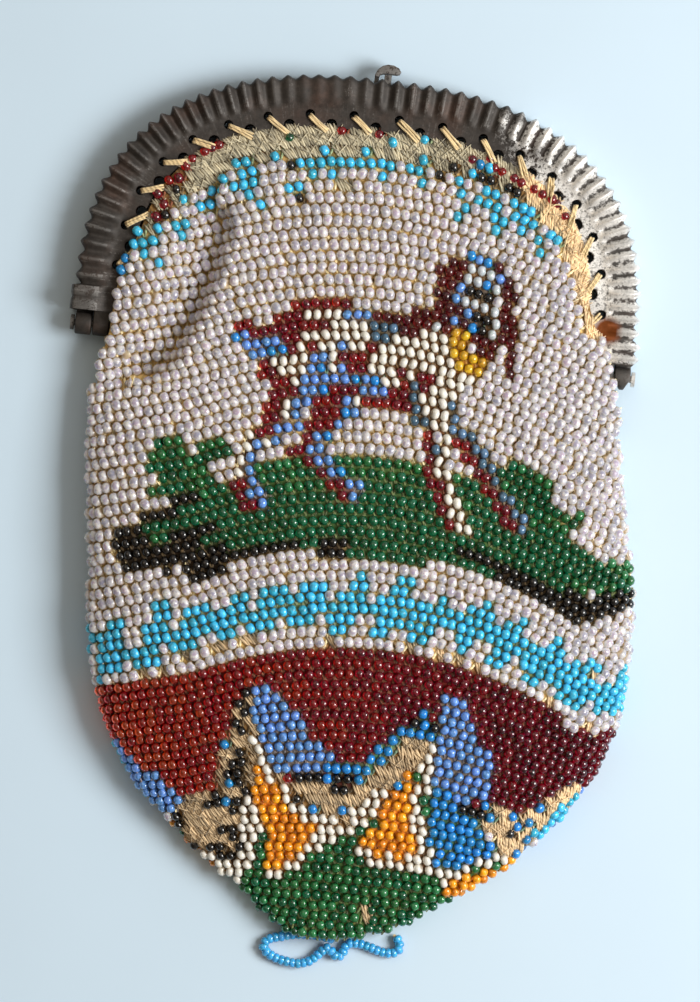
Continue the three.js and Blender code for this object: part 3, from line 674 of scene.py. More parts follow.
# The dog that stands on it
DOG = [
    ("garnet", [
        (370, 312), (396, 312), (418, 308), (434, 310), (438, 298), (436, 282), (440, 264), (450, 254),
        (464, 256), (467, 264), (460, 280), (455, 296), (458, 312), (452, 322), (452, 331), (446, 346),
        (430, 334), (408, 336), (395, 325), (374, 319),
    ]),
    ("garnet", [
        (501, 282), (513, 281), (519, 298), (514, 306), (514, 332), (516, 350), (513, 362), (514, 380),
        (506, 380), (505, 352), (500, 346), (490, 356), (478, 352), (466, 344), (470, 334), (486, 340),
        (496, 336), (498, 306),
    ]),
    ("ruby", [
        (398, 371), (421, 370), (438, 374), (440, 388), (436, 394), (428, 399), (413, 390), (402, 386),
    ]),
]
# Rows of the dog from its back to its feet
DOG_ROWS = [
    ("ruby", [(295, 309), (350, 301)]),
    ("ruby", [(278, 322), (300, 319)]),
    ("chalk", [(308, 316), (340, 312)]),
    ("periwinkle", [(347, 312), (368, 315)]),
    ("ruby", [(242, 320), (248, 331), (256, 337), (320, 328)]),
    ("chalk", [(329, 325), (362, 326)]),
    ("slate", [(368, 327), (397, 331)]),
    ("periwinkle", [(240, 334), (248, 345), (252, 349), (282, 345)]),
    ("ruby", [(287, 344), (300, 342)]),
    ("chalk", [(305, 340), (347, 334), (368, 338)]),
    ("slate", [(375, 339), (386, 340)]),
    ("chalk", [(393, 342), (412, 345), (450, 358)]),
    ("chalk", [(424, 340), (437, 342)]),
    ("ruby", [(292, 353), (297, 352)]),
    ("chalk", [(302, 352), (305, 351)]),
    ("ruby", [(310, 350), (313, 350)]),
    ("chalk", [(318, 348), (333, 346)]),
    ("periwinkle", [(339, 345), (343, 345)]),
    ("chalk", [(352, 344), (365, 347)]),
    ("ruby", [(370, 348), (374, 349)]),
    ("chalk", [(380, 350), (399, 354), (442, 365), (471, 377)]),
    ("ruby", [(263, 369), (267, 369)]),
    ("chalk", [(275, 367), (305, 361)]),
    ("periwinkle", [(310, 360), (321, 359)]),
    ("chalk", [(328, 356), (332, 356)]),
    ("ruby", [(338, 356), (365, 358)]),
    ("chalk", [(371, 359), (400, 365), (417, 371)]),
    ("ruby", [(278, 378), (290, 378)]),
    ("chalk", [(295, 375), (305, 373)]),
    ("periwinkle", [(311, 370), (322, 367)]),
    ("chalk", [(329, 368), (333, 368)]),
    ("periwinkle", [(340, 365), (343, 365)]),
    ("ruby", [(352, 366), (364, 369)]),
    ("chalk", [(371, 369), (393, 374)]),
    ("chalk", [(440, 378), (463, 384)]),
    ("ruby", [(273, 389), (294, 386)]),
    ("chalk", [(300, 385), (304, 385)]),
    ("periwinkle", [(309, 381), (341, 377), (376, 380)]),
    ("chalk", [(382, 381), (394, 384)]),
    ("chalk", [(440, 390), (453, 392)]),
    ("ruby", [(274, 399), (277, 399)]),
    ("chalk", [(284, 398), (295, 397)]),
    ("periwinkle", [(300, 394), (322, 388)]),
    ("ruby", [(329, 388), (356, 387)]),
    ("periwinkle", [(364, 388), (386, 392)]),
    ("ruby", [(394, 394), (404, 396)]),
    ("ruby", [(265, 413), (278, 410)]),
    ("chalk", [(285, 410), (288, 410)]),
    ("periwinkle", [(293, 408), (305, 405)]),
    ("ruby", [(311, 405), (333, 401)]),
    ("periwinkle", [(341, 398), (344, 398)]),
    ("chalk", [(354, 399), (358, 399)]),
    ("ruby", [(364, 400), (397, 405), (409, 408)]),
    ("ruby", [(259, 428), (272, 424)]),
    ("chalk", [(279, 422), (283, 422)]),
    ("periwinkle", [(288, 421), (300, 419)]),
    ("ruby", [(315, 416), (338, 414)]),
    ("periwinkle", [(348, 413), (352, 413)]),
    ("chalk", [(250, 439), (263, 437)]),
    ("periwinkle", [(269, 435), (281, 434)]),
    ("ruby", [(314, 425), (328, 424)]),
    ("periwinkle", [(335, 424), (339, 424)]),
    ("ruby", [(306, 439), (313, 437)]),
    ("periwinkle", [(319, 437), (323, 436)]),
    # Hind legs
    ("chalk", [(246, 450), (238, 462), (236, 475)]),
    ("periwinkle", [(256, 448), (248, 463), (246, 478), (252, 490), (263, 498)]),
    ("ruby", [(238, 482), (246, 500), (256, 510)]),
    ("ruby", [(296, 453), (310, 456), (318, 466), (330, 480), (344, 494)]),
    ("periwinkle", [(314, 448), (320, 460), (330, 472), (344, 480), (355, 488), (355, 497)]),
    # Forelegs
    ("slate", [(411, 390), (413, 410), (418, 422), (429, 426)]),
    ("chalk", [(418, 402), (428, 405), (444, 401)]),
    ("chalk", [(422, 413), (444, 413)]),
    ("chalk", [
        (437, 422), (438, 430), (446, 434), (443, 455), (440, 466), (441, 475), (447, 487), (451, 501),
        (457, 514), (462, 527),
    ]),
    ("slate", [(436, 444), (434, 450)]),
    ("ruby", [
        (430, 438), (424, 448), (431, 462), (430, 474), (436, 486), (440, 498), (441, 509), (451, 523),
    ]),
    ("slate", [
        (451, 405), (452, 425), (464, 434), (478, 450), (488, 464), (492, 480), (500, 494), (512, 512),
        (524, 528),
    ]),
    ("ruby", [(459, 442), (471, 456), (480, 471), (484, 481), (497, 497), (500, 508), (513, 524)]),
]
DOG_BEADS = [
    ("mist", [
        (471, 267), (481, 269), (490, 272), (471, 279), (480, 281), (495, 289), (463, 303), (471, 307),
        (482, 308), (491, 315), (471, 318), (492, 325), (491, 338), (434, 329),
    ]),
    ("periwinkle", [
        (474, 254), (483, 257), (492, 262), (498, 276), (489, 283), (461, 288), (455, 299), (484, 294),
        (463, 314), (455, 322), (472, 329),
    ]),
    ("garnet", [(500, 265), (462, 326), (453, 311)]),
    ("black", [(470, 293), (478, 294), (490, 300), (482, 319), (483, 326)]),
    ("honey", [
        (454, 334), (463, 338), (454, 348), (464, 350), (472, 355), (483, 360), (459, 361), (468, 364),
        (478, 369),
    ]),
]
DOG_REACH = 6.5  # half width of its strokes
DOG_STROKES = [(name, DOG_REACH, line) for name, line in DOG_ROWS]
DOG_STROKES += [(name, DOG_REACH, [place, place]) for name, places in DOG_BEADS for place in places]


def inside(points, corners):
    """Which points lie inside a closed field."""
    x, y = points[:, 0], points[:, 1]
    within = np.zeros(len(points), bool)
    ends = np.array(corners, float)
    for (x0, y0), (x1, y1) in zip(ends, np.roll(ends, -1, axis=0)):
        if y0 != y1:
            crosses = (y0 > y) != (y1 > y)
            within ^= crosses & (x < (x1 - x0) * (y - y0) / (y1 - y0) + x0)
    return within


def distance_to(points, corners):
    """Distance from points to a stroke."""
    nearest = np.full(len(points), np.inf)
    for start, end in zip(np.array(corners[:-1], float), np.array(corners[1:], float)):
        d = end - start
        t = np.clip((points - start) @ d / max(d @ d, 1e-9), 0, 1)
        nearest = np.minimum(nearest, np.linalg.norm(points - start - t[:, None] * d, axis=1))
    return nearest


def paint(points, face):
    """The colour of every stitch on one face of the bag. Where strokes meet, the nearest wins."""
    x, y = points[:, 0], points[:, 1]
    if face == BACK:
        x = 2 * lean(y) - x
    view = on_view(x, y)
    chosen = np.full(len(points), "opal", dtype="<U12")
    layers = [(BANDS, BAND_STROKES, BAND_BEADS)]
    if face == FRONT:
        layers += [(HILL, HILL_STROKES, []), (DOG, DOG_STROKES, [])]
    for fields, strokes, beads in layers:
        for name, corners in fields:
            chosen[inside(view, corners)] = name
        best = np.ones(len(points))
        for name, reach, corners in strokes:
            share = distance_to(view, corners) / reach
            nearer = share < best
            chosen[nearer] = name
            best[nearer] = share[nearer]
        for name, places in beads:
            for place in places:
                chosen[np.argmin(np.linalg.norm(view - np.array(place), axis=1))] = name
    return chosen


# Making pieces

def deselect():
    if bpy.context.object and bpy.context.object.mode != "OBJECT":
        bpy.ops.object.mode_set(mode="OBJECT")
    bpy.ops.object.select_all(action="DESELECT")


def pick(*pieces):
    """Selects pieces. The last one is active."""
    deselect()
    for piece in pieces:
        piece.select_set(True)
    bpy.context.view_layer.objects.active = pieces[-1]


def link(piece):
    bpy.context.scene.collection.objects.link(piece)
    return piece


def ease_edges(width):
    """Bevels every edge of the active object."""
    bpy.ops.object.mode_set(mode="EDIT")
    bpy.ops.mesh.select_all(action="SELECT")
    bpy.ops.mesh.bevel(offset=width * MM, segments=2, affect="EDGES")
    bpy.ops.object.mode_set(mode="OBJECT")


def round_curve(name, diameter, resolution):
    curve = bpy.data.curves.new(name, "CURVE")
    curve.dimensions = "3D"
    curve.bevel_depth = diameter / 2
    curve.bevel_resolution = resolution
    curve.use_fill_caps = True
    return curve


def add_line(curve, points):
    """A line of a curve through points in the frame's own millimetres."""
    line = curve.splines.new("POLY")
    line.points.add(len(points) - 1)
    line.points.foreach_set("co", np.concatenate([in_row(points), np.ones((len(points), 1))], 1).ravel())
    return line


def finish_form():
    """Takes the modelled object away and gives its points and faces, to be copied."""
    made = bpy.context.object
    bpy.ops.object.mode_set(mode="OBJECT")
    points = np.array([v.co for v in made.data.vertices])
    faces = [tuple(p.vertices) for p in made.data.polygons]
    bpy.data.objects.remove(made, do_unlink=True)
    return points, faces


def bead_form(sides, rings):
    """A seed bead along X, one unit in radius: a sphere drawn out to a barrel, with its ends pressed in."""
    deselect()
    bpy.ops.mesh.primitive_uv_sphere_add(
        segments=sides, ring_count=rings, radius=1, rotation=(0, math.pi / 2, 0),
    )
    bpy.ops.object.transform_apply(location=False, rotation=True, scale=False)
    mesh = bpy.context.object.data
    for vertex in mesh.vertices:
        x = vertex.co.x
        girth = math.hypot(vertex.co.y, vertex.co.z)
        if girth < 1e-4:
            vertex.co.x = 0.6 * math.copysign(1, x)
            continue
        fuller = max(0.0, 1 - abs(x) ** 2.3) ** (1 / 2.3)
        vertex.co.y *= fuller / girth
        vertex.co.z *= fuller / girth
    return finish_form()


def strand_form(sides, parts):
    """A short strand along Y, one unit in radius and two long, bowed up in the middle."""
    deselect()
    bpy.ops.mesh.primitive_cylinder_add(vertices=sides, radius=1, depth=2, rotation=(math.pi / 2, 0, 0))
    bpy.ops.object.transform_apply(location=False, rotation=True, scale=False)
    bpy.ops.object.mode_set(mode="EDIT")
    for cut in range(1, parts):
        bpy.ops.mesh.select_all(action="SELECT")
        bpy.ops.mesh.bisect(plane_co=(0, 2 * cut / parts - 1, 0), plane_no=(0, 1, 0))
    bpy.ops.object.mode_set(mode="OBJECT")
    for vertex in bpy.context.object.data.vertices:
        thin = 1 - 0.45 * abs(vertex.co.y) ** 3
        vertex.co.x *= thin
        vertex.co.z = vertex.co.z * thin - 0.9 * vertex.co.y ** 2
    return finish_form()


# Painted light: the beads are painted brighter on their sides turned away from this direction
WINDOW_SIDE = np.array([0.72, 0.2, 0.66])  # direction of the window from the purse


def join_copies(name, form, centres, axes, tones, material, stain=None):
    """One object that holds a copy of a form at every place, each with its own mesh and tone."""
    points, faces = form
    count, size = len(centres), len(points)
    offsets = np.einsum("nij,mj->nmi", axes, points)
    # Nothing goes through the table
    lowest = centres[:, 2] + offsets[..., 2].min(axis=1)
    centres = centres + np.maximum(0, TABLE_GAP - lowest)[:, None] * np.array([0, 0, 1.0])
    world = in_row(centres[:, None, :] + offsets).reshape(-1, 3)
    corners = np.concatenate([np.array(f) for f in faces])
    totals = np.array([len(f) for f in faces])
    starts = np.concatenate([[0], np.cumsum(totals)[:-1]])
    mesh = bpy.data.meshes.new(name)
    mesh.vertices.add(count * size)
    mesh.vertices.foreach_set("co", world.ravel())
    mesh.loops.add(count * len(corners))
    copy = np.arange(count)[:, None]
    mesh.loops.foreach_set("vertex_index", (copy * size + corners).ravel().astype(np.int32))
    mesh.polygons.add(count * len(faces))
    mesh.polygons.foreach_set("loop_start", (copy * len(corners) + starts).ravel().astype(np.int32))
    mesh.update(calc_edges=True)
    # Painted light: how far each point of a copy is turned away from the window, which the glass paints
    # brighter
    towards = offsets @ WINDOW_SIDE / np.maximum(np.linalg.norm(offsets, axis=-1), 1e-9)
    for key, values in (
        ("tone", np.repeat(tones, size)),
        ("glow", (0.5 - 0.5 * towards).ravel()),
        ("sink", np.tile(1 - np.clip(points[:, 2], 0, 1), count)),
    ):
        mesh.attributes.new(key, "FLOAT", "POINT").data.foreach_set("value", values.astype(np.float32))
    # Painted light and shade for the thread among the beads, with the tints of bare thread
    if stain is not None:
        tint = mesh.attributes.new("stain", "FLOAT_COLOR", "POINT")
        tint.data.foreach_set("color", np.repeat(stain, size, axis=0).ravel())
    mesh.shade_smooth()
    mesh.materials.append(material)
    return link(bpy.data.objects.new(name, mesh))


def turned(along, normal, angle):
    """Axes of a copy: along its row, turned in the surface by an angle, and up the rows."""
    side = np.cross(normal, along)
    side /= np.linalg.norm(side, axis=1)[:, None]
    c, s = np.cos(angle)[:, None], np.sin(angle)[:, None]
    return c * along + s * side, c * side - s * along


def grid_piece(name, points, wall, material, marks=None):
    """A sheet through a grid of points: a plane grid moved onto them and given its thickness."""
    rows, columns = points.shape[:2]
    deselect()
    bpy.ops.mesh.primitive_grid_add(x_subdivisions=columns - 1, y_subdivisions=rows - 1, size=2)
    made = bpy.context.object
    made.name = made.data.name = name
    flat = np.array([v.co for v in made.data.vertices])
    column = np.rint((flat[:, 0] + 1) / 2 * (columns - 1)).astype(int)
    row = np.rint((1 - flat[:, 1]) / 2 * (rows - 1)).astype(int)
    made.data.vertices.foreach_set("co", points[row, column].ravel())
    made.data.update()
    for key, values in (marks or {}).items():
        mark = made.data.attributes.new(key, "FLOAT", "POINT")
        mark.data.foreach_set("value", values[row, column].astype(np.float32))
    solid = made.modifiers.new("wall", "SOLIDIFY")
    solid.thickness = wall
    solid.offset = -1
    bpy.ops.object.modifier_apply(modifier="wall")
    bpy.ops.object.shade_smooth()
    made.data.materials.clear()
    made.data.materials.append(material)
    return made


# Materials

def add_node(tree, kind, values=None, **settings):
    """A node with its settings, constants and links."""
    node = tree.nodes.new("ShaderNode" + kind)
    for key, value in settings.items():
        setattr(node, key, value)
    for socket, value in (values or {}).items():
        if isinstance(value, bpy.types.NodeSocket):
            tree.links.new(value, node.inputs[socket])
        else:
            node.inputs[socket].default_value = value
    return node


def new_material(name):
    """A material without nodes, and what adds them to it."""
    material = bpy.data.materials.new(name)
    material.use_nodes = True
    material.node_tree.nodes.clear()
    return material, partial(add_node, material.node_tree)


def with_alpha(rgb):
    return (*rgb, 1.0)


GLASS_IOR = 1.56
# These marks carry painted light and shade: the side away from the window is painted brighter, and depth
# paints the sides darker
BEAD_MARKS = ("tone", "glow", "sink")  # shade of each bead, side away from the window, and depth


def glass(name, rgb, spread, roughness, clear, milky, painted_inner_light, brown, mottle=0.3, shimmer=0.0):
    """Wound seed-bead glass: each bead a little lighter or darker, cloudy inside, with painted shade round
    its sides and painted light on the side away from the window, where light gathers. brown is the share of
    thread seen through its sides."""
    material, add = new_material(name)
    tone, glow, sink = (add("Attribute", attribute_name=key) for key in BEAD_MARKS)
    place = add("TexCoord")
    # Clouds of about 0.5 mm from the winding
    streak = add("TexNoise", {"Vector": place.outputs["Object"], "Scale": 1900.0, "Detail": 1.5})
    bright = add("Math", {0: tone.outputs["Fac"], 1: spread, 2: 1.0}, operation="MULTIPLY_ADD")
    cloud = add("MapRange", {
        "Value": streak.outputs["Fac"], "From Min": 0.32, "From Max": 0.68,
        "To Min": -mottle, "To Max": mottle,
    })
    mixed = add("Math", {0: bright.outputs[0], 1: cloud.outputs[0]}, operation="ADD")
    # Painted light: the side away from the window is painted brighter, and the side towards it darker
    painted_gathered_light = add("MapRange", {
        "Value": glow.outputs["Fac"], "From Min": 0.35, "From Max": 0.7,
        "To Min": 1 - 0.8 * painted_inner_light, "To Max": 1 + 1.4 * painted_inner_light,
    }, interpolation_type="SMOOTHSTEP")
    value = add("Math", {0: mixed.outputs[0], 1: painted_gathered_light.outputs[0]}, operation="MULTIPLY")
    hue = add("Math", {0: tone.outputs["Fac"], 1: 0.01, 2: 0.5}, operation="MULTIPLY_ADD")
    shade = add("HueSaturation", {
        "Hue": hue.outputs[0], "Value": value.outputs[0], "Color": with_alpha(rgb),
    })
    shot = add("Mix", {
        "Factor": shimmer, 6: shade.outputs["Color"], 7: streak.outputs["Color"],
    }, data_type="RGBA", blend_type="OVERLAY")
    # Painted shade round the sides: the deeper part of each bead is painted darker, with some thread seen
    # through
    rim = [0.45 * (1 - brown) * part + brown * thread for part, thread in zip(rgb, linear("#D9C6A6"))]
    side = add("MapRange", {"Value": sink.outputs["Fac"], "From Min": 0.35, "From Max": 1.0, "To Max": 0.8})
    seen = add("Mix", {"Factor": side.outputs[0], 6: shot.outputs[2], 7: with_alpha(rim)}, data_type="RGBA")
    bump = add("Bump", {
        "Height": streak.outputs["Fac"], "Strength": 0.1 + 0.3 * shimmer, "Distance": 0.0001,
    })
    shader = add("BsdfPrincipled", {
        "Base Color": seen.outputs[2], "Normal": bump.outputs["Normal"], "Roughness": roughness,
        "IOR": GLASS_IOR, "Coat Weight": 0.6, "Coat Roughness": 0.06,
        "Transmission Weight": clear, "Subsurface Weight": milky,
        "Subsurface Radius": tuple(max(0.08, part / max(rgb)) for part in rgb), "Subsurface Scale": 0.0005,
    })
    add("OutputMaterial", {"Surface": shader.outputs["BSDF"]})
    return material


def opal_glass(name):
    """Opal glass, wound and half clear: white clouds in lavender glass, a painted pale ring where light
    leaves the bead, painted light away from the window, small sharp glints, and the golden thread seen
    through its sides, painted in."""
    material, add = new_material(name)
    c = colours()
    tone, glow, sink = (add("Attribute", attribute_name=key) for key in BEAD_MARKS)
    place = add("TexCoord")
    # Clouds of about 0.8 mm
    streak = add("TexNoise", {"Vector": place.outputs["Object"], "Scale": 1300.0, "Detail": 2.0})
    cloud = add("MapRange", {"Value": streak.outputs["Fac"], "From Min": 0.46, "From Max": 0.58})
    body = add("Mix", {
        "Factor": cloud.outputs[0], 6: with_alpha(c.opal_shade), 7: with_alpha(c.opal),
    }, data_type="RGBA")
    # The pale ring: a painted highlight where light leaves the bead
    rise = add("MapRange", {"Value": sink.outputs["Fac"], "From Min": 0.12, "From Max": 0.4})
    fall = add("MapRange", {"Value": sink.outputs["Fac"], "From Min": 0.7, "From Max": 0.45, "To Max": 0.8})
    painted_ring = add("Math", {0: rise.outputs[0], 1: fall.outputs[0]}, operation="MULTIPLY")
    painted_ringed = add("Mix", {
        "Factor": painted_ring.outputs[0], 6: body.outputs[2], 7: with_alpha(c.opal),
    }, data_type="RGBA")
    # Painted light: brighter on the side away from the window
    painted_gathered_light = add("MapRange", {
        "Value": glow.outputs["Fac"], "From Min": 0.15, "From Max": 0.7, "To Min": 0.92, "To Max": 1.28,
    }, interpolation_type="SMOOTHSTEP")
    value = add("Math", {0: tone.outputs["Fac"], 1: 0.12, 2: painted_gathered_light.outputs[0]}, operation="MULTIPLY_ADD")
    # Some beads are bluish and some are rosy
    hue = add("Math", {0: tone.outputs["Fac"], 1: 0.06, 2: 0.5}, operation="MULTIPLY_ADD")
    shade = add("HueSaturation", {
        "Hue": hue.outputs[0], "Saturation": 1.2, "Value": value.outputs[0], "Color": painted_ringed.outputs[2],
    })
    # Painted at the sides: the golden thread seen through the glass, lit by light that passes the bead
    side = add("MapRange", {"Value": sink.outputs["Fac"], "From Min": 0.4, "From Max": 0.8, "To Max": 0.95})
    seen = add("Mix", {
        "Factor": side.outputs[0], 6: shade.outputs["Color"], 7: with_alpha(c.opal_edge),
    }, data_type="RGBA")
    bump = add("Bump", {"Height": streak.outputs["Fac"], "Strength": 0.5, "Distance": 0.0002})
    shader = add("BsdfPrincipled", {
        "Base Color": seen.outputs[2], "Normal": bump.outputs["Normal"], "Roughness": 0.04, "IOR": GLASS_IOR,
        "Coat Weight": 0.8, "Coat Roughness": 0.04, "Transmission Weight": 0.3, "Subsurface Weight": 0.6,
        "Subsurface Radius": (1.0, 0.85, 0.7), "Subsurface Scale": 0.0012,
    })
    add("OutputMaterial", {"Surface": shader.outputs["BSDF"]})
    return material


# Each kind of bead: its length and girth against the plain bead's, how it is made, spread of its shades,
# roughness, clear and milky shares, painted light on the side away from the window, thread seen through
# its painted dark sides, clouds and shimmer
KINDS = {
    "opal": (1.12, 1.1, "opal glass, wound seed beads"),
    # Opaque glass, like enamel: even colour with a clean highlight
    "turquoise": (1.0, 0.95, "turquoise opaque glass, wound seed beads", 0.24, 0.09, 0.0, 0.15, 0.2, 0.05),
    "azure": (1.0, 0.92, "azure opaque glass, wound seed beads", 0.25, 0.09, 0.0, 0.1, 0.25, 0.05),
    # Clear coloured glass: painted dark in the middle, on the side towards the window, painted bright on the
    # far side, sharp white glints
    "ruby": (0.98, 0.9, "ruby clear glass, wound seed beads", 0.35, 0.1, 0.2, 0.1, 0.95, 0.0, 0.5),
    "garnet": (0.98, 0.92, "garnet clear glass, wound seed beads", 0.35, 0.05, 0.2, 0.1, 0.95, 0.0, 0.5),
    # Chalky glass: dull cream, with painted shade towards its sides
    "chalk": (
        0.88, 1.0, "chalk white opaque glass, wound seed beads",
        0.06, 0.2, 0.0, 0.1, 0.1, 0.5, 0.1, 0.12,
    ),
    "mist": (
        0.97, 0.96, "cool white half opaque glass, wound seed beads",
        0.08, 0.1, 0.1, 0.2, 0.15, 0.5, 0.2, 0.2,
    ),
    "periwinkle": (0.96, 0.88, "periwinkle opaque glass, wound seed beads", 0.2, 0.09, 0.1, 0.15, 0.25, 0.0),
    "slate": (0.96, 0.9, "slate blue opaque glass, wound seed beads", 0.4, 0.09, 0.1, 0.1, 0.25, 0.1),
    "leaf": (0.98, 0.9, "leaf green opaque glass, wound seed beads", 0.3, 0.06, 0.1, 0.2, 0.4, 0.0),
    "bottle": (0.98, 0.9, "bottle green clear glass, wound seed beads", 0.35, 0.05, 0.2, 0.2, 0.7, 0.0, 0.4),
    "black": (0.98, 0.9, "black glass, wound seed beads", 0.2, 0.04, 0.0, 0.0, 0.0, 0.0),
    "amber": (0.98, 0.96, "amber opaque glass, wound seed beads", 0.18, 0.09, 0.0, 0.2, 0.25, 0.0),
    "honey": (1.0, 0.96, "honey half opaque glass, wound seed beads", 0.18, 0.09, 0.1, 0.2, 0.3, 0.0),
}
# Painted light and shade: the tint of the light that reaches the thread among the beads of each kind, painted
# into its colour
PAINTED_LIGHT_TINTS = {
    BARE: (0.45, 0.38, 0.28),
    "opal": (1.25, 1.38, 1.45),
    "turquoise": (0.3, 0.62, 0.62),
    "azure": (0.1, 0.45, 0.56),
    "ruby": (0.23, 0.015, 0.012),
    "garnet": (0.18, 0.015, 0.015),
    "chalk": (0.26, 0.17, 0.11),
    "mist": (0.4, 0.3, 0.24),
    "periwinkle": (0.3, 0.38, 0.8),
    "slate": (0.22, 0.26, 0.36),
    "leaf": (0.1, 0.32, 0.16),
    "bottle": (0.08, 0.28, 0.15),
    "black": (0.06, 0.05, 0.04),
    "amber": (1.35, 0.75, 0.14),
    "honey": (1.0, 0.66, 0.16),
}


def painted_light_tints(names):
    tint = np.ones((len(names), 4), np.float32)
    for name, rgb in PAINTED_LIGHT_TINTS.items():
        tint[names == name, :3] = rgb
    return tint


def twisted_thread(name, rgb, roughness, stain_and_light_tinted=False, spread=0.25):
    """Twisted silk or linen: a matt strand with painted shade in darker lines between its plies, and a soft
    sheen.
    """
    material, add = new_material(name)
    tone = add("Attribute", attribute_name="tone")
    place = add("TexCoord")
    # Plies lie about 0.25 mm apart
    plies = add("TexWave", {
        "Vector": place.outputs["Object"], "Scale": 640.0, "Distortion": 3.0, "Detail": 1.0,
    }, wave_type="BANDS", bands_direction="DIAGONAL")
    fluff = add("TexNoise", {"Vector": place.outputs["Object"], "Scale": 420.0, "Detail": 4.0})
    # Painted shade: darker in the lines between the plies
    ply = add("Math", {0: plies.outputs["Fac"], 1: 0.35, 2: 0.72}, operation="MULTIPLY_ADD")
    cloud = add("Math", {0: fluff.outputs["Fac"], 1: 0.5, 2: -0.25}, operation="MULTIPLY_ADD")
    varied = add("Math", {0: tone.outputs["Fac"], 1: spread, 2: cloud.outputs[0]}, operation="MULTIPLY_ADD")
    value = add("Math", {0: ply.outputs[0], 1: varied.outputs[0]}, operation="ADD")
    # Painted light and shade among the beads, and the tints of bare thread
    stain = add("Attribute", attribute_name="stain")
    tinted = add("Mix", {
        "Factor": 1.0, 6: with_alpha(rgb), 7: stain.outputs["Color"],
    }, data_type="RGBA", blend_type="MULTIPLY")
    shade = add("HueSaturation", {
        "Value": value.outputs[0], "Color": tinted.outputs[2] if stain_and_light_tinted else with_alpha(rgb),
    })
    bump = add("Bump", {"Height": plies.outputs["Fac"], "Strength": 0.4, "Distance": 0.0001})
    shader = add("BsdfPrincipled", {
        "Base Color": shade.outputs["Color"], "Normal": bump.outputs["Normal"],
        "Roughness": roughness, "Sheen Weight": 0.25,
    })
    add("OutputMaterial", {"Surface": shader.outputs["BSDF"]})
    return material


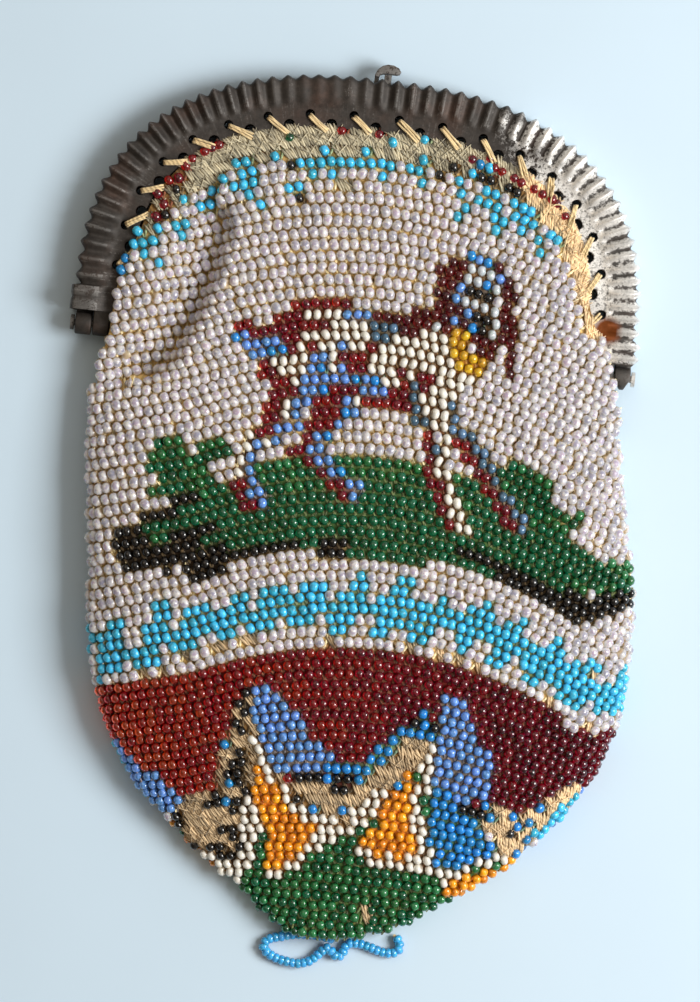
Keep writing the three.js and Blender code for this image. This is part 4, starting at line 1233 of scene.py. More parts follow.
def stamped_metal(name, worn=0.0, hollow_tarnish_and_shade=0.95):
    """Stamped silvered sheet, tarnished: dark in its hollows and to the left, bright where it rubs and to the
    right.
    Each is partly tarnish and wear, and partly painted: shade in the hollows and to the left, a highlight on
    the rubbed crests, and the window's reflection to the right.
    """
    material, add = new_material(name)
    c = colours()
    place = add("TexCoord")
    parts = add("SeparateXYZ", {"Vector": place.outputs["Object"]})
    # Blotches of about 4 mm and pits of about 0.5 mm
    blotch = add("TexNoise", {
        "Vector": place.outputs["Object"], "Scale": 240.0, "Detail": 5.0, "Roughness": 0.65,
    })
    pits = add("TexNoise", {
        "Vector": place.outputs["Object"], "Scale": 1500.0, "Detail": 3.0, "Roughness": 0.7,
    })
    # Tarnish covers the left leg and the crown, and lessens down the right leg: partly tarnish, partly
    # painted shade to the left and a painted reflection of the window to the right
    side = add("MapRange", {
        "Value": parts.outputs["X"], "From Min": 0.014, "From Max": 0.034, "To Min": 0.82, "To Max": -0.08,
    })
    wear = add("Math", {0: blotch.outputs["Fac"], 1: side.outputs[0]}, operation="SUBTRACT")
    grain = add("Math", {0: pits.outputs["Fac"], 1: 0.5, 2: wear.outputs[0]}, operation="MULTIPLY_ADD")
    bare = add("MapRange", {"Value": grain.outputs[0], "From Min": 0.1, "From Max": 0.55})
    # Specks of tarnish of about 0.4 mm
    specks = add("MapRange", {
        "Value": pits.outputs["Fac"], "From Min": 0.55, "From Max": 0.68, "To Max": 0.6,
    })
    reddish = add("TexNoise", {"Vector": place.outputs["Object"], "Scale": 130.0, "Detail": 3.0})
    bloom = add("MapRange", {
        "Value": reddish.outputs["Fac"], "From Min": 0.48, "From Max": 0.7, "To Max": 0.12,
    })
    spot = add("VectorMath", {0: place.outputs["Object"], 1: tuple(in_row(RUST_SPOT))}, operation="DISTANCE")
    rusted = add("MapRange", {"Value": spot.outputs["Value"], "From Min": 0.0028, "From Max": 0.0016})
    crest = add("Attribute", attribute_name="crest")
    # Brighter on the crests: partly rubbed wear, partly a painted highlight
    wear_and_highlight = add("MapRange", {
        "Value": crest.outputs["Fac"], "From Min": 0.8, "From Max": 1.0, "To Min": worn,
        "To Max": worn + 0.08,
    })
    # Darker in the valleys: partly tarnish, partly painted shade
    edge = add("Math", {0: pits.outputs["Fac"], 1: 2.0, 2: crest.outputs["Fac"]}, operation="MULTIPLY_ADD")
    valley_tarnish_and_shade = add("MapRange", {"Value": edge.outputs[0], "From Min": 1.5, "From Max": 1.15, "To Max": hollow_tarnish_and_shade})
    dark = add("Mix", {
        "Factor": bloom.outputs[0], 6: with_alpha(c.tarnish), 7: with_alpha(c.rust),
    }, data_type="RGBA")
    # Scratches across the rim, about 0.3 mm apart, that come and go
    arc = add("Attribute", attribute_name="arc")
    lines = add("TexNoise", {"W": arc.outputs["Fac"], "Scale": 2.6, "Detail": 2.0}, noise_dimensions="1D")
    fine = add("MapRange", {"Value": lines.outputs["Fac"], "From Min": 0.5, "From Max": 0.72})
    patch = add("MapRange", {
        "Value": blotch.outputs["Fac"], "From Min": 0.4, "From Max": 0.62, "To Max": 0.1,
    })
    scratch = add("Math", {0: fine.outputs[0], 1: patch.outputs[0]}, operation="MULTIPLY")
    scored = add("Math", {0: wear_and_highlight.outputs[0], 1: scratch.outputs[0]}, operation="ADD")
    risen = add("Math", {0: bare.outputs[0], 1: scored.outputs[0]}, operation="ADD", use_clamp=True)
    cleaner = add("Math", {0: risen.outputs[0], 1: valley_tarnish_and_shade.outputs[0]}, operation="SUBTRACT", use_clamp=True)
    shown = add("Math", {0: cleaner.outputs[0], 1: specks.outputs[0]}, operation="SUBTRACT", use_clamp=True)
    faced = add("Mix", {
        "Factor": shown.outputs[0], 6: dark.outputs[2], 7: with_alpha(c.metal),
    }, data_type="RGBA")
    # Dust and stains: the whole surface a little lighter or darker from place to place
    broad = add("Math", {0: blotch.outputs["Fac"], 1: 1.6, 2: 0.2}, operation="MULTIPLY_ADD")
    gritty = add("Math", {0: pits.outputs["Fac"], 1: 1.5, 2: 0.27}, operation="MULTIPLY_ADD")
    cloudy = add("Math", {0: broad.outputs[0], 1: gritty.outputs[0]}, operation="MULTIPLY")
    stain_and_light_tinted = add("HueSaturation", {"Value": cloudy.outputs[0], "Color": faced.outputs[2]})
    skin = add("Mix", {
        "Factor": rusted.outputs[0], 6: stain_and_light_tinted.outputs["Color"], 7: with_alpha(c.rust),
    }, data_type="RGBA")
    rough = add("MapRange", {"Value": shown.outputs[0], "To Min": 0.6, "To Max": 0.36})
    sheen = add("MapRange", {"Value": shown.outputs[0], "To Min": 0.3, "To Max": 0.6})
    bump = add("Bump", {"Height": pits.outputs["Fac"], "Strength": 0.25, "Distance": 0.0001})
    shader = add("BsdfPrincipled", {
        "Base Color": skin.outputs[2], "Normal": bump.outputs["Normal"],
        "Roughness": rough.outputs[0], "Metallic": sheen.outputs[0],
    })
    add("OutputMaterial", {"Surface": shader.outputs["BSDF"]})
    return material


def painted_floor(name):
    """Painted board, very slightly mottled."""
    material, add = new_material(name)
    place = add("TexCoord")
    cloud = add("TexNoise", {"Vector": place.outputs["Object"], "Scale": 30.0, "Detail": 4.0})
    value = add("Math", {0: cloud.outputs["Fac"], 1: 0.06, 2: 0.97}, operation="MULTIPLY_ADD")
    shade = add("HueSaturation", {"Value": value.outputs[0], "Color": with_alpha(colours().floor)})
    shader = add("BsdfPrincipled", {"Base Color": shade.outputs["Color"], "Roughness": 0.75})
    add("OutputMaterial", {"Surface": shader.outputs["BSDF"]})
    return material


# Operators

class PieceOperator:
    bl_options = {"REGISTER", "UNDO"}

    def execute(self, context):
        self.make()
        return {"FINISHED"}


CAMERA_HEIGHT = 900.0
CAMERA_CENTRE = (2.145, -24.02)
FRAMED_HEIGHT = 167.0
LENS_PLANE = 6.0
SENSOR = 36.0
# Area lights: place and size in millimetres, power in watts, colour
LIGHTS = {
    "window": ((430, 0, 400), 300, 4.3, (1.0, 0.98, 0.95)),
    "room": ((-300, 260, 620), 600, 0.62, (1.0, 0.84, 0.65)),
}
LIT_POINT = (0, -24, 5)
# The room's own light away from the window and towards it
DIM_TINT, DIM_LIGHT = (1.0, 0.8, 0.6, 1.0), 0.12
CLEAR_TINT, CLEAR_LIGHT = (0.88, 0.95, 1.0, 1.0), 0.75
FLOOR_WIDTH = 3.0  # metres


class RETICULE_OT_stage(PieceOperator, bpy.types.Operator):
    """Camera straight above the purse, pale table top and soft window light from the right"""
    bl_idname = "reticule.stage"
    bl_label = "Stage"

    def make(self):
        scene = bpy.context.scene
        lens = bpy.data.cameras.new("camera")
        lens.lens = SENSOR * CAMERA_HEIGHT / FRAMED_HEIGHT
        lens.sensor_width = SENSOR
        camera = bpy.data.objects.new("camera", lens)
        camera.location = in_row((*CAMERA_CENTRE, LENS_PLANE + CAMERA_HEIGHT))
        camera.rotation_euler = (0, 0, VIEW_TURN)
        scene.camera = link(camera)
        scene.view_settings.view_transform = "Standard"
        deselect()
        bpy.ops.mesh.primitive_grid_add(x_subdivisions=8, y_subdivisions=8, size=FLOOR_WIDTH)
        floor = bpy.context.object
        floor.name = "table_top"
        floor.data.materials.append(painted_floor("painted board, rolled"))
        for name, (place, size, power, tint) in LIGHTS.items():
            lamp = bpy.data.lights.new(name, "AREA")
            lamp.energy = power
            lamp.color = tint
            lamp.size = size * MM
            light = bpy.data.objects.new(name, lamp)
            light.location = in_row(place)
            towards = Vector(in_row(LIT_POINT)) - Vector(light.location)
            light.rotation_euler = towards.to_track_quat("-Z", "Y").to_euler()
            link(light)
        world = bpy.data.worlds.new("room")
        world.use_nodes = True
        # A room that is brighter and cooler towards the window
        tree = world.node_tree
        add = partial(add_node, tree)
        place = add("TexCoord")
        parts = add("SeparateXYZ", {"Vector": place.outputs["Generated"]})
        towards = add("Math", {
            0: parts.outputs["Y"], 1: 0.4, 2: parts.outputs["X"],
        }, operation="MULTIPLY_ADD")
        share = add("MapRange", {"Value": towards.outputs[0], "From Min": -0.6, "From Max": 1.1})
        tint = add("Mix", {"Factor": share.outputs[0], 6: DIM_TINT, 7: CLEAR_TINT}, data_type="RGBA")
        bright = add("MapRange", {"Value": share.outputs[0], "To Min": DIM_LIGHT, "To Max": CLEAR_LIGHT})
        tree.links.new(bright.outputs[0], tree.nodes["Background"].inputs["Strength"])
        tree.links.new(tint.outputs[2], tree.nodes["Background"].inputs["Color"])
        scene.world = world


TASSEL_POINTS = [
    (6.9, -97.2, 2.4), (4.4, -96.9, 1.7), (1.2, -97.1, 1.0), (-1.9, -97.8, 0.85), (-3.9, -98.5, 0.85),
    (-4.6, -99.7, 0.85), (-3.5, -101.0, 0.85), (-1.1, -101.8, 0.85), (1.6, -102.0, 0.85),
    (3.6, -101.2, 0.85), (4.9, -99.9, 0.95), (6.0, -98.9, 1.1), (7.0, -99.6, 1.0), (8.0, -100.3, 0.85),
    (8.8, -99.2, 0.85), (9.4, -97.9, 0.85), (11.4, -97.7, 0.85), (13.4, -98.2, 0.85), (15.4, -98.7, 0.85),
    (17.2, -98.6, 0.85), (18.1, -97.7, 0.85), (17.7, -96.4, 0.85), (16.9, -95.6, 0.85),
]
# A tassel bead's length against its diameter, then its pitch and its half length against that length
TASSEL_SHARE, TASSEL_PITCH, TASSEL_HALF = 0.58, 0.94, 0.68


class RETICULE_OT_tassel(PieceOperator, bpy.types.Operator):
    """The string of beads that loops at the foot and ends under the bag"""
    bl_idname = "reticule.tassel"
    bl_label = "Bead tassel"

    def make(self):
        size = sizes()
        line = smooth_line(TASSEL_POINTS, 8)
        run = run_of(line)
        curve = round_curve("tassel_thread", size.tassel_thread, 2)
        add_line(curve, line)
        thread = link(bpy.data.objects.new("tassel_thread", curve))
        curve.materials.append(twisted_thread("silk thread, twisted, for the tassel", colours().sewing, 0.8))
        diameter = size.tassel_bead / MM
        bead = TASSEL_SHARE * diameter
        rng = np.random.default_rng(5)
        places = np.arange(0.4 * bead, run[-1] - 0.3 * bead, TASSEL_PITCH * bead)
        here = along_line(places, run, line)
        along = along_line(places + 0.4, run, line) - along_line(places - 0.4, run, line)
        along /= np.linalg.norm(along, axis=1)[:, None]
        up = np.tile([0.0, 0.0, 1.0], (len(here), 1))
        side = np.cross(up, along)
        side /= np.linalg.norm(side, axis=1)[:, None]
        up = np.cross(along, side)
        girth = diameter / 2 * rng.uniform(0.94, 1.04, len(here))[:, None]
        axes = np.stack([along * TASSEL_HALF * bead, side * girth, up * girth], -1)
        beads = join_copies(
            "tassel_beads", bead_form(10, 6), here, axes, rng.uniform(-1, 1, len(here)),
            glass(
                "bright turquoise opaque glass, wound tassel beads", colours().tassel,
                0.2, 0.09, 0.1, 0.4, 0.2, 0.0,
            ),
        )
        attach(thread, BACK)
        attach(beads, BACK)
        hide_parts("bead_tassel")


def frame_profile(rim, face, depth):
    """One half's face, from the rim in to the band's edge: flutes from 0 on a crest to 1 in a valley."""
    dip, low = depth * rim, depth * face
    level = np.ones_like(dip)
    knots = [
        (dip, 0.15 * level),
        (dip, 1.9 - 0.3 * low),
        (dip + 0.22, HALF_DEPTH - 0.5 - 0.5 * low),
        (dip + 0.8, HALF_DEPTH - 0.1 - 0.8 * low),
        (3.0 * level, HALF_DEPTH - 0.08 - 0.85 * low),
        (4.0 * level, HALF_DEPTH - 0.24 - 0.72 * low),
        (4.9 * level, HALF_DEPTH - 0.6 - 0.36 * low),
        (5.5 * level, BAND_UP + 0.12 * level),
        (6.1 * level, BAND_UP * level),
        (7.2 * level, BAND_UP * level),
        (BAND_EDGE * level, BAND_UP * level),
    ]
    return np.stack([np.stack(knot, -1) for knot in knots], 1)


# Pitch of the flutes against the plain one, from the right leg over the crown to the left leg
FLUTE_SHARE = [
    (0, 0.85), (0.15, 0.88), (0.25, 0.98), (0.35, 1.04), (0.5, 1.03), (0.62, 1), (0.75, 0.92), (0.88, 1),
    (1, 1.12),
]


def flute_turns(u):
    """How many flutes lie before each place on the arch: a whole number in all."""
    turns = np.concatenate([[0], np.cumsum(1 / table(FLUTE_SHARE, (u[1:] + u[:-1]) / 2) * np.diff(u))])
    count = round(turns[-1] * ARCH_LENGTH / (sizes().flute_pitch / MM))
    return turns / turns[-1] * count


def pleat(turns):
    """0 on the crests and 1 in the valleys between them: straight sides, softly rounded."""
    share = np.abs(2 * (turns % 1) - 1)
    return 0.3 * share + 0.7 * (0.5 - 0.5 * np.cos(np.pi * share))


def hole_places():
    count = round(ARCH_LENGTH / (sizes().hole_pitch / MM))
    return (np.arange(count) + 0.5) / count


class RETICULE_OT_frame(PieceOperator, bpy.types.Operator):
    """The two stamped halves of the frame, with their flutes, sewing holes and hinge knuckles"""
    bl_idname = "reticule.frame"
    bl_label = "Metal frame"

    def make(self):
        metal = stamped_metal("silvered sheet metal, stamped and tarnished")
        for body, side, node in ((FRONT, 1, "front_frame"), (BACK, -1, "back_frame")):
            half = self.half(f"{body}_frame_half", side, metal)
            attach(half, body)
            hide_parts(node)

    def half(self, name, side, metal):
        size = sizes()
        turns = flute_turns(ARCH_U)
        even = np.linspace(0, turns[-1], round(turns[-1]) * FLUTE_STEPS + 1)
        u = np.interp(even, turns, ARCH_U)
        point = on_arch(u, np.zeros_like(u))
        inward = on_arch(u, np.ones_like(u)) - point
        # No two flutes are as deep
        depths = np.random.default_rng(7).uniform(0.82, 1.08, round(turns[-1]) + 1)
        wave = pleat(even) * np.interp(even, np.arange(len(depths)), depths)
        share = np.linspace(0, 1, BLOCK_STEPS, endpoint=False)
        for hand in (1, -1):
            # The right leg's flutes run on to its foot. The left leg ends in a plain block with one low ridge
            face = np.stack([
                np.full(BLOCK_STEPS, hand * (ARCH_HALF_WIDTH + BLOCK_PROUD)),
                LEG_END + (ARCH_BASE - 0.1 - LEG_END) * share,
            ], -1)
            ends = np.tile([-hand, 0.0], (BLOCK_STEPS, 1))
            flute = pleat(2 * share) if hand > 0 else 0.2 * np.exp(-((share - 0.5) / 0.08) ** 2)
            if hand > 0:
                pairs = (face, point), (ends, inward), (flute, wave)
            else:
                pairs = (point, face[::-1]), (inward, ends[::-1]), (wave, flute[::-1])
            point, inward, wave = (np.concatenate(pair) for pair in pairs)
        # The crown's face is worn smooth
        smoothed = np.exp(-((point[:, 0] - WORN_X) / WORN_REACH) ** 4) * (point[:, 1] > WORN_FROM)
        profile = frame_profile(
            wave * (1 - 0.3 * smoothed), wave * (1 - 0.75 * smoothed), size.flute_depth / MM,
        )
        section = refine(profile, 2)
        grid = np.concatenate([
            point[:, None] + inward[:, None] * section[..., :1],
            PARTING + side * section[..., 1:],
        ], -1)
        crest = (1 - wave) * (1 - smoothed) + 0.4 * smoothed
        crest = np.repeat(crest[:, None], grid.shape[1], axis=1)
        crest[:, -BAND_COLUMNS:] = 0.5
        arc = np.repeat(run_of(point)[:, None], grid.shape[1], axis=1)
        if side < 0:
            grid, crest = grid[:, ::-1], crest[:, ::-1]
        half = grid_piece(name, in_row(grid), size.sheet, metal, {"crest": crest, "arc": arc})
        self.punch(half, side)
        self.knuckles(half, side)
        return half

    def punch(self, half, side):
        """Sewing holes: a row along the middle of the band, and larger ones between that break its edge."""
        places = hole_places()
        between = (places[:-1] + places[1:]) / 2
        spots = np.concatenate([
            on_arch(places, np.full(len(places), HOLE_INSET)),
            on_arch(between, np.full(len(between), INNER_HOLE_INSET)),
        ])
        deselect()
        punches = []
        for number, (x, y) in enumerate(spots):
            bpy.ops.mesh.primitive_cylinder_add(
                vertices=14, radius=sizes().hole * (0.5 if number < len(places) else 0.6), depth=3 * MM,
                location=in_row((x, y, PARTING + side * BAND_UP)),
            )
            punches.append(bpy.context.object)
        pick(*punches[::-1])
        bpy.ops.object.join()
        bpy.ops.object.transform_apply()
        cutter = bpy.context.object
        pick(half)
        cut = half.modifiers.new("holes", "BOOLEAN")
        cut.operation = "DIFFERENCE"
        cut.solver = "EXACT"
        cut.object = cutter
        bpy.ops.object.modifier_apply(modifier="holes")
        bpy.data.objects.remove(cutter, do_unlink=True)

    def knuckles(self, half, side):
        """Rolled knuckles on the legs' feet: the back half's outside, the front half's inside."""
        low, high = KNUCKLE_SPAN[FRONT if side > 0 else BACK]
        deselect()
        added = []
        for hand in (-1, 1):
            middle = in_row((hand * (low + high) / 2, HINGE_Y, PARTING))
            bpy.ops.mesh.primitive_cylinder_add(
                vertices=20, radius=KNUCKLE_RADIUS * MM, depth=(high - low) * MM,
                location=middle, rotation=(0, math.pi / 2, 0),
            )
            bpy.ops.object.transform_apply()
            ease_edges(0.25)
            added.append(bpy.context.object)
            if hand > 0 and side < 0:
                # The right tab narrows to a point
                for vertex in added[-1].data.vertices:
                    below = max(0, (middle[1] - vertex.co.y) / (KNUCKLE_RADIUS * MM))
                    vertex.co.x = middle[0] + (vertex.co.x - middle[0]) * (1 - 0.75 * below)
            # The leaf that joins the knuckle to the leg
            bpy.ops.mesh.primitive_cube_add(
                size=1, location=in_row((hand * (low + high) / 2, LEAF_Y, PARTING + side * LEAF_LIFT)),
                scale=((high - low) * MM, LEAF_LENGTH * MM, LEAF_THICK * MM),
            )
            bpy.ops.object.transform_apply()
            ease_edges(0.2)
            added.append(bpy.context.object)
        for piece in added:
            piece.data.materials.clear()
            piece.data.materials.append(half.data.materials[0])
        pick(*added, half)
        bpy.ops.object.join()
        bpy.ops.object.shade_smooth_by_angle(angle=SHARP_ANGLE)


# The hook seen from the front: a strap on the left that rises into a dome with a nose on the right
HOOK_OUTLINE = [
    (-1.05, 46.95), (-0.3, 46.95), (-0.15, 47.3), (0.3, 47.5), (1.2, 47.55), (2.2, 47.5), (2.65, 47.5),
    (3.1, 47.65), (3.3, 48.1), (2.9, 48.7), (2.0, 49.1), (1.0, 49.15), (0.1, 48.85), (-0.6, 48.2),
    (-0.98, 47.5),
]
STRAP_OUTLINE = [(-1.05, 45.4), (-0.3, 45.4), (-0.3, 47.4), (-1.05, 47.4)]
POST_OUTLINE = [(0.6, 44.9), (1.8, 44.9), (1.8, 47.4), (0.6, 47.4)]
PLATE_EDGE = 0.22  # radius of the eased edges


class RETICULE_OT_hardware(PieceOperator, bpy.types.Operator):
    """Hinge pins and the clasp's hook and post, in the frame's metal"""
    bl_idname = "reticule.hardware"
    bl_label = "Hinge pins and clasp"

    def make(self):
        # Brightened all over, partly wear and partly a painted sheen, and little darkened in its hollows
        metal = stamped_metal("steel, turned and tarnished", 0.3, 0.15)
        for node in ("left_hinge_pin", "right_hinge_pin"):
            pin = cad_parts[node]
            pin.data.materials.clear()
            pin.data.materials.append(metal)
        hook = self.plate("clasp_hook_plate", HOOK_OUTLINE, middle=3.2, thick=1.8, metal=metal)
        strap = self.plate("strap", STRAP_OUTLINE, middle=2.5, thick=1.1, metal=metal)
        pick(strap, hook)
        bpy.ops.object.join()
        post = self.plate("clasp_post_bar", POST_OUTLINE, middle=4.15, thick=1.2, metal=metal)
        for piece, body, node in ((hook, BACK, "clasp_hook"), (post, FRONT, "clasp_post")):
            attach(piece, body)
            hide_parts(node)

    def plate(self, name, outline, middle, thick, metal):
        """A plate cut to an outline, with its edges eased: a filled curve turned into a mesh."""
        curve = bpy.data.curves.new(name, "CURVE")
        curve.dimensions = "2D"
        curve.fill_mode = "BOTH"
        curve.extrude = (thick / 2 - PLATE_EDGE) * MM
        curve.bevel_depth = PLATE_EDGE * MM
        curve.bevel_resolution = 2
        curve.offset = -PLATE_EDGE * MM
        add_line(curve, [(x, y, 0) for x, y in outline]).use_cyclic_u = True
        made = link(bpy.data.objects.new(name, curve))
        made.location.z = middle * MM
        pick(made)
        bpy.ops.object.convert(target="MESH")
        bpy.ops.object.transform_apply()
        made = bpy.context.object
        bpy.ops.object.mode_set(mode="EDIT")
        bpy.ops.mesh.select_all(action="SELECT")
        bpy.ops.mesh.remove_doubles(threshold=0.00001)
        bpy.ops.mesh.normals_make_consistent(inside=False)
        bpy.ops.object.mode_set(mode="OBJECT")
        bpy.ops.object.shade_smooth_by_angle(angle=SHARP_ANGLE)
        made.data.materials.clear()
        made.data.materials.append(metal)
        return made


# Broken ends of the sewing thread that lie on the knitting: plan, and height over it
LOOSE_ENDS = [
    [(30.6, 31.8, 0.3), (30.3, 29.6, 0.5), (30.1, 27.7, 0.5), (29.0, 26.0, 0.4), (28.6, 24.8, 0.2)],
    [(30.1, 27.7, 0.5), (31.2, 28.6, 0.5), (32.6, 28.4, 0.4), (33.6, 27.6, 0.2)],
    [(34.6, 27.1, 0.3), (34.2, 25.2, 0.5), (33.6, 23.3, 0.5), (33.1, 19.9, 0.2)],
]


class RETICULE_OT_lacing(PieceOperator, bpy.types.Operator):
    """The three-ply thread that whips the knitting to the sewing holes"""
    bl_idname = "reticule.lacing"
    bl_label = "Sewing thread"

    def make(self):
        thread = twisted_thread("linen thread, three loose plies", colours().sewing, 0.75)
        for body, side, node in ((FRONT, 1, "front_lacing"), (BACK, -1, "back_lacing")):
            stitches = self.stitches(f"{body}_lacing_stitches", side, thread)
            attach(stitches, body)
            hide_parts(node)

    def stitches(self, name, side, thread):
        curve = round_curve(name, sizes().sewing_ply, 1)
        places = hole_places()
        rng = np.random.default_rng(3)
        for u in places:
            slant = rng.uniform(0.36, 0.52) / len(places)
            hole = on_arch(np.array(u), np.array(HOLE_INSET + 0.2))
            edge = on_arch(np.array(u - slant), np.array(KNIT_INSET + rng.uniform(0.5, 1.2)))
            band = PARTING + side * BAND_UP
            level = [-0.9, 0.3, 0.6, 0.65, 0.1] if side > 0 else [-0.9, 0.25, 0.5, 0.5, 0.1]
            share = [0.0, 0.06, 0.4, 0.8, 1.05]
            path = [(*(hole + (edge - hole) * f), band + side * h) for f, h in zip(share, level)]
            line = smooth_line(path, 6)
            tangent = np.gradient(line, axis=0)
            flat = np.cross(tangent, [0, 0, 1.0])
            flat /= np.maximum(np.linalg.norm(flat, axis=1), 1e-6)[:, None]
            apart = 0.27 + 0.12 * np.linspace(0, 1, len(line))[:, None] * rng.uniform(0, 1)
            for hand in (-1, 0, 1):
                bend = 0.07 * np.sin(np.linspace(0, 5, len(line)) + rng.uniform(0, 6))[:, None]
                add_line(curve, line + (hand * apart + bend) * flat + rng.normal(0, 0.05, 3))
        for end in LOOSE_ENDS if side > 0 else ():
            path = [(x, y, height(np.array(x), np.array(y), FRONT) + lift) for x, y, lift in end]
            line = smooth_line(path, 5)
            add_line(curve, line).points.foreach_set("radius", np.full(len(line), 0.6))
        curve.materials.append(thread)
        pick(link(bpy.data.objects.new(name, curve)))
        bpy.ops.object.convert(target="MESH")
        bpy.ops.object.shade_smooth()
        return bpy.context.object


BEAD_DEPTH = 0.72  # bag's outside to the middle of a bead
THREAD_DEPTH = 0.88
BARE_DEPTH = 0.7
FRAYED_DEPTH = 0.35
GROUND_DEPTH = 1.1
GROUND_WALL = 0.45
# Legs of a stitch: where they stand along it, and how far each leans
THREAD_LEGS = {FRONT: ((-0.24, 0.24), (0.4, -0.4)), BACK: ((0.0,), (0.3,))}
BARE_LEGS = (-0.42, -0.14, 0.14, 0.4), (0.5, 0.4, 0.55, 0.45)
FRAYED_LEGS = (-0.3, 0.2), (1.1, -0.6)
ROW_SLANTS = (0.42, 0.42, 0.42, -0.3)  # beads of every fourth row lean the other way
CHALK_SLANT = 0.16
BOTTLE_SHARE = 0.42  # of the hill's leaf green beads
AZURE_SHARE = 0.2  # of the dog's blue beads
DOG_LOW, RUBY_HIGH = -30.0, -40.0  # where the dog ends, and the red band begins
# Frayed thread: how far to the right, between which heights, and how often among opal beads and bare stitches
FRAYED_SIDE, FRAYED_LOW, FRAYED_HIGH = 0.72, -34.0, 14.0
FRAYED_OPAL, FRAYED_BARE = 0.55, 0.35
# Tints of bare thread: near the foot, under the crown, and at the right of the crown
BARE_TINT, CROWN_TINT, RIGHT_TINT = (0.92, 0.87, 0.8), (0.78, 0.89, 0.96), (1.04, 0.98, 0.88)
RIGHT_FROM = 24.0
THREAD_TAN = np.array([0.6, 0.5, 0.36])  # a quarter of it shows among coloured beads


def seat(piece, face):
    """The front stays where it is made, unfastened, and the back goes with the back half."""
    if face == FRONT:
        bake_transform(piece)
    else:
        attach(piece, BACK)


class RETICULE_OT_knitting(PieceOperator, bpy.types.Operator):
    """The knitted ground of the bag, front and back"""
    bl_idname = "reticule.knitting"
    bl_label = "Knitted ground"

    def make(self):
        silk = twisted_thread("silk knitting, in the shade of its beads", colours().ground, 0.9, True)
        for face, node in ((FRONT, "bag_front_panel"), (BACK, "bag_pouch")):
            rows = row_heights()
            s = -0.985 * np.cos(np.linspace(0, np.pi, 101 if face == FRONT else 41))
            grid = np.stack([bag_point(y, s, face, GROUND_DEPTH) for y in rows])
            if face == FRONT:
                grid[..., 2] -= 0.2 * crease_dip(grid[..., 0], grid[..., 1])
            else:
                grid = grid[:, ::-1]
            ground = grid_piece(f"{face}_knit_ground", in_row(grid), GROUND_WALL * MM, silk)
            places = np.array([v.co for v in ground.data.vertices])
            # Painted light and shade among the beads, by the kind of bead at each point
            stain = painted_light_tints(paint((places - ORIGIN) / MM, face))
            tint = ground.data.attributes.new("stain", "FLOAT_COLOR", "POINT")
            tint.data.foreach_set("color", stain.ravel())
            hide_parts(node)
            seat(ground, face)


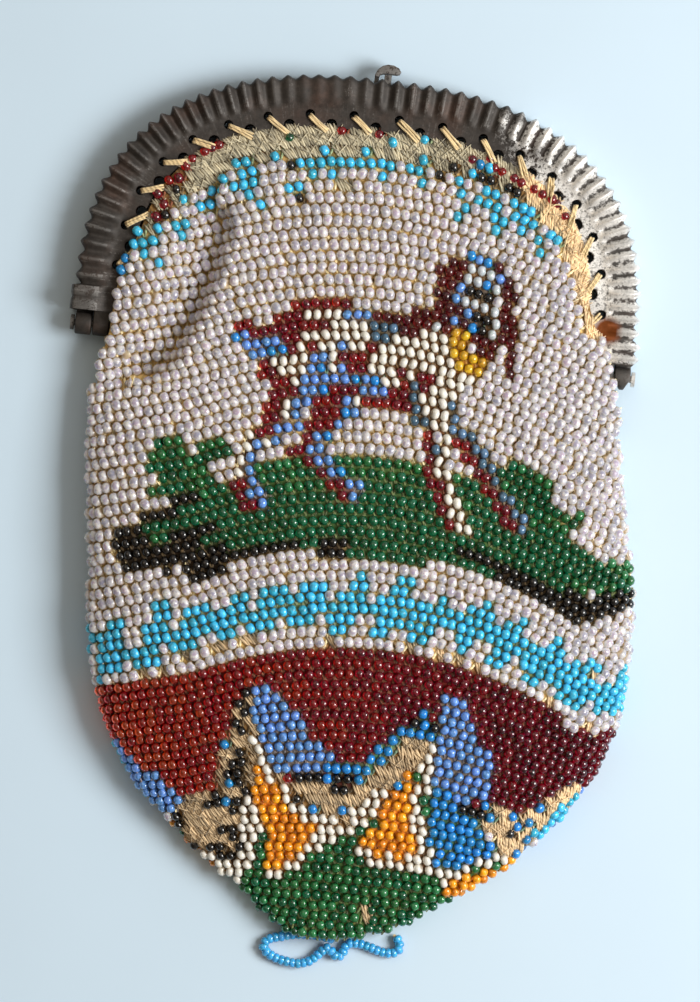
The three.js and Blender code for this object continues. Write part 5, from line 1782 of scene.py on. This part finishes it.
class RETICULE_OT_beadwork(PieceOperator, bpy.types.Operator):
    """Every stitch of the bag: its bead, or bare thread where the beads are gone"""
    bl_idname = "reticule.beadwork"
    bl_label = "Beadwork"

    def make(self):
        size = sizes()
        silk = twisted_thread("silk thread, twisted", colours().thread, 0.8, True)
        worn = twisted_thread("silk thread, twisted, worn and greyed", colours().bare, 0.85, True, 0.5)
        glasses = {
            name: glass(kind[2], getattr(colours(), name), *kind[3:]) if kind[3:] else opal_glass(kind[2])
            for name, kind in KINDS.items()
        }
        beads_of = {FRONT: bead_form(8, 6), BACK: bead_form(6, 5)}
        thin, full = strand_form(4, 2), strand_form(5, 3)
        for face in (FRONT, BACK):
            rng = np.random.default_rng(11 if face == FRONT else 23)
            points, along, normal, rows = lay_stitches(face)
            names = paint(points, face)
            names[(rows < 0) & (names == "opal")] = BARE
            count = len(points)
            green = (names == "leaf") & (rng.random(count) < BOTTLE_SHARE)
            names[green] = "bottle"
            last = np.append(rows[1:] != rows[:-1], True)
            crowding = (table(ROW_SHARE, row_heights()[rows]) / 0.93)[:, None] ** 0.5
            slant = np.array(ROW_SLANTS)[rows % 4] + rng.normal(0, 0.14, count)
            slant[names == "chalk"] += CHALK_SLANT
            tones = rng.uniform(-1, 1, count)
            # The red band is painted with shade, darker to the right, and some of the dog's blue beads are
            # azure
            band = (names == "ruby") & (points[:, 1] < RUBY_HIGH)
            tones[band] -= 0.04 * np.clip(points[band, 0], -26, 40) - 0.2
            azure = (names == "periwinkle") & (points[:, 1] > DOG_LOW) & (rng.random(count) < AZURE_SHARE)
            names[azure] = "azure"
            grow = rng.uniform(0.95, 1.06, count)[:, None]
            wander = rng.normal(0, 0.07, (count, 3))
            tip = rng.normal(0, 0.18, count)[:, None]
            for name, material in glasses.items():
                mine = names == name
                if not mine.any():
                    continue
                half = size.bead_length / 2 / MM * KINDS[name][0] * grow[mine]
                radius = size.bead_diameter / 2 / MM * KINDS[name][1] * grow[mine] * crowding[mine]
                run, side = turned(along[mine], normal[mine], slant[mine])
                up = normal[mine] * np.cos(tip[mine]) - run * np.sin(tip[mine])
                run = run * np.cos(tip[mine]) + normal[mine] * np.sin(tip[mine])
                centres = points[mine] - BEAD_DEPTH * normal[mine] + wander[mine]
                beads = join_copies(
                    f"{face}_{name}_beads", beads_of[face], centres,
                    np.stack([run * half, side * radius, up * radius], -1), tones[mine], material,
                )
                seat(beads, face)
            stitches = points, along, normal, names, tones
            self.strands(
                f"{face}_thread", (names != BARE) & ~last, thin, *THREAD_LEGS[face], THREAD_DEPTH, 1.0,
                stitches, silk, face, rng,
            )
            self.strands(
                f"{face}_bare_stitches", (names == BARE) & ~last, full, *BARE_LEGS, BARE_DEPTH, 1.0,
                stitches, worn, face, rng,
            )
            # Frayed thread: where the beads are gone, and down the right edge below the hinge
            edge = across(points[:, 0], points[:, 1], face) > FRAYED_SIDE
            edge &= (points[:, 1] > FRAYED_LOW) & (points[:, 1] < FRAYED_HIGH)
            likely = np.where(names == BARE, FRAYED_BARE, 0)
            likely[edge & (names == "opal")] = FRAYED_OPAL
            frayed = likely > rng.random(count)
            self.strands(
                f"{face}_frayed_stitches", frayed & ~last, thin, *FRAYED_LEGS, FRAYED_DEPTH, 0.5,
                stitches, worn, face, rng,
            )

    def strands(self, name, mine, form, offsets, leans, depth, girth, stitches, silk, face, rng):
        """The legs of the stitches, between the beads or bare."""
        points, along, normal, names, tones = (part[mine] for part in stitches)
        pitch, row, thread = sizes().stitch_width / MM, sizes().row_height / MM, sizes().thread / 2 / MM
        centres, axes = [], []
        for offset, lean_by in zip(offsets, leans):
            run, side = turned(along, normal, lean_by + rng.normal(0, 0.08, len(points)))
            sway = rng.normal(0, 0.05, len(points))[:, None]
            centres.append(points - (depth + sway) * normal + along * (0.5 + offset) * pitch)
            axes.append(np.stack([run * thread * girth, side * 0.58 * row, normal * thread * girth], -1))
        # Bare thread is lighter towards the right of the frame
        lighter_rightwards = np.where(names == BARE, 0.03 * np.clip(points[:, 0] - 12, 0, 30), 0)
        shades = np.tile(0.5 * tones + lighter_rightwards, len(offsets))
        shades += rng.uniform(-0.7, 0.7, len(shades))
        # Painted light and shade among the beads; bare thread then gets its own tints
        tint = painted_light_tints(names)
        coloured = names != "opal"
        tint[coloured, :3] = 0.75 * tint[coloured, :3] + 0.25 * THREAD_TAN
        tint[names == BARE, :3] = BARE_TINT
        upper = (names == BARE) & (points[:, 1] > 0)
        tint[upper, :3] = CROWN_TINT
        tint[upper & (points[:, 0] > RIGHT_FROM), :3] = RIGHT_TINT
        made = join_copies(
            name, form, np.concatenate(centres), np.concatenate(axes), shades, silk,
            np.tile(tint, (len(offsets), 1)),
        )
        seat(made, face)


class RETICULE_PT_sidebar(bpy.types.Panel):
    """Sizes, colours and pieces of the reticule"""
    bl_idname = "RETICULE_PT_sidebar"
    bl_label = "Reticule"
    bl_space_type = "VIEW_3D"
    bl_region_type = "UI"
    bl_category = "Reticule"

    def draw(self, context):
        for operator in OPERATORS:
            self.layout.operator(operator.bl_idname)
        for group in (context.scene.reticule_sizes, context.scene.reticule_colours):
            box = self.layout.box()
            for key in group.__annotations__:
                box.prop(group, key)


OPERATORS = (
    RETICULE_OT_stage,
    RETICULE_OT_tassel,
    RETICULE_OT_frame,
    RETICULE_OT_hardware,
    RETICULE_OT_lacing,
    RETICULE_OT_knitting,
    RETICULE_OT_beadwork,
)
CLASSES = (ReticuleSizes, ReticuleColours, *OPERATORS, RETICULE_PT_sidebar)


def register():
    for cls in CLASSES:
        bpy.utils.register_class(cls)
    bpy.types.Scene.reticule_sizes = PointerProperty(type=ReticuleSizes)
    bpy.types.Scene.reticule_colours = PointerProperty(type=ReticuleColours)


def unregister():
    del bpy.types.Scene.reticule_colours
    del bpy.types.Scene.reticule_sizes
    for cls in reversed(CLASSES):
        bpy.utils.unregister_class(cls)


def main():
    register()
    bpy.ops.reticule.stage()
    bpy.ops.reticule.tassel()
    bpy.ops.reticule.frame()
    bpy.ops.reticule.hardware()
    bpy.ops.reticule.lacing()
    bpy.ops.reticule.knitting()
    bpy.ops.reticule.beadwork()


if __name__ == "__main__":
    main()
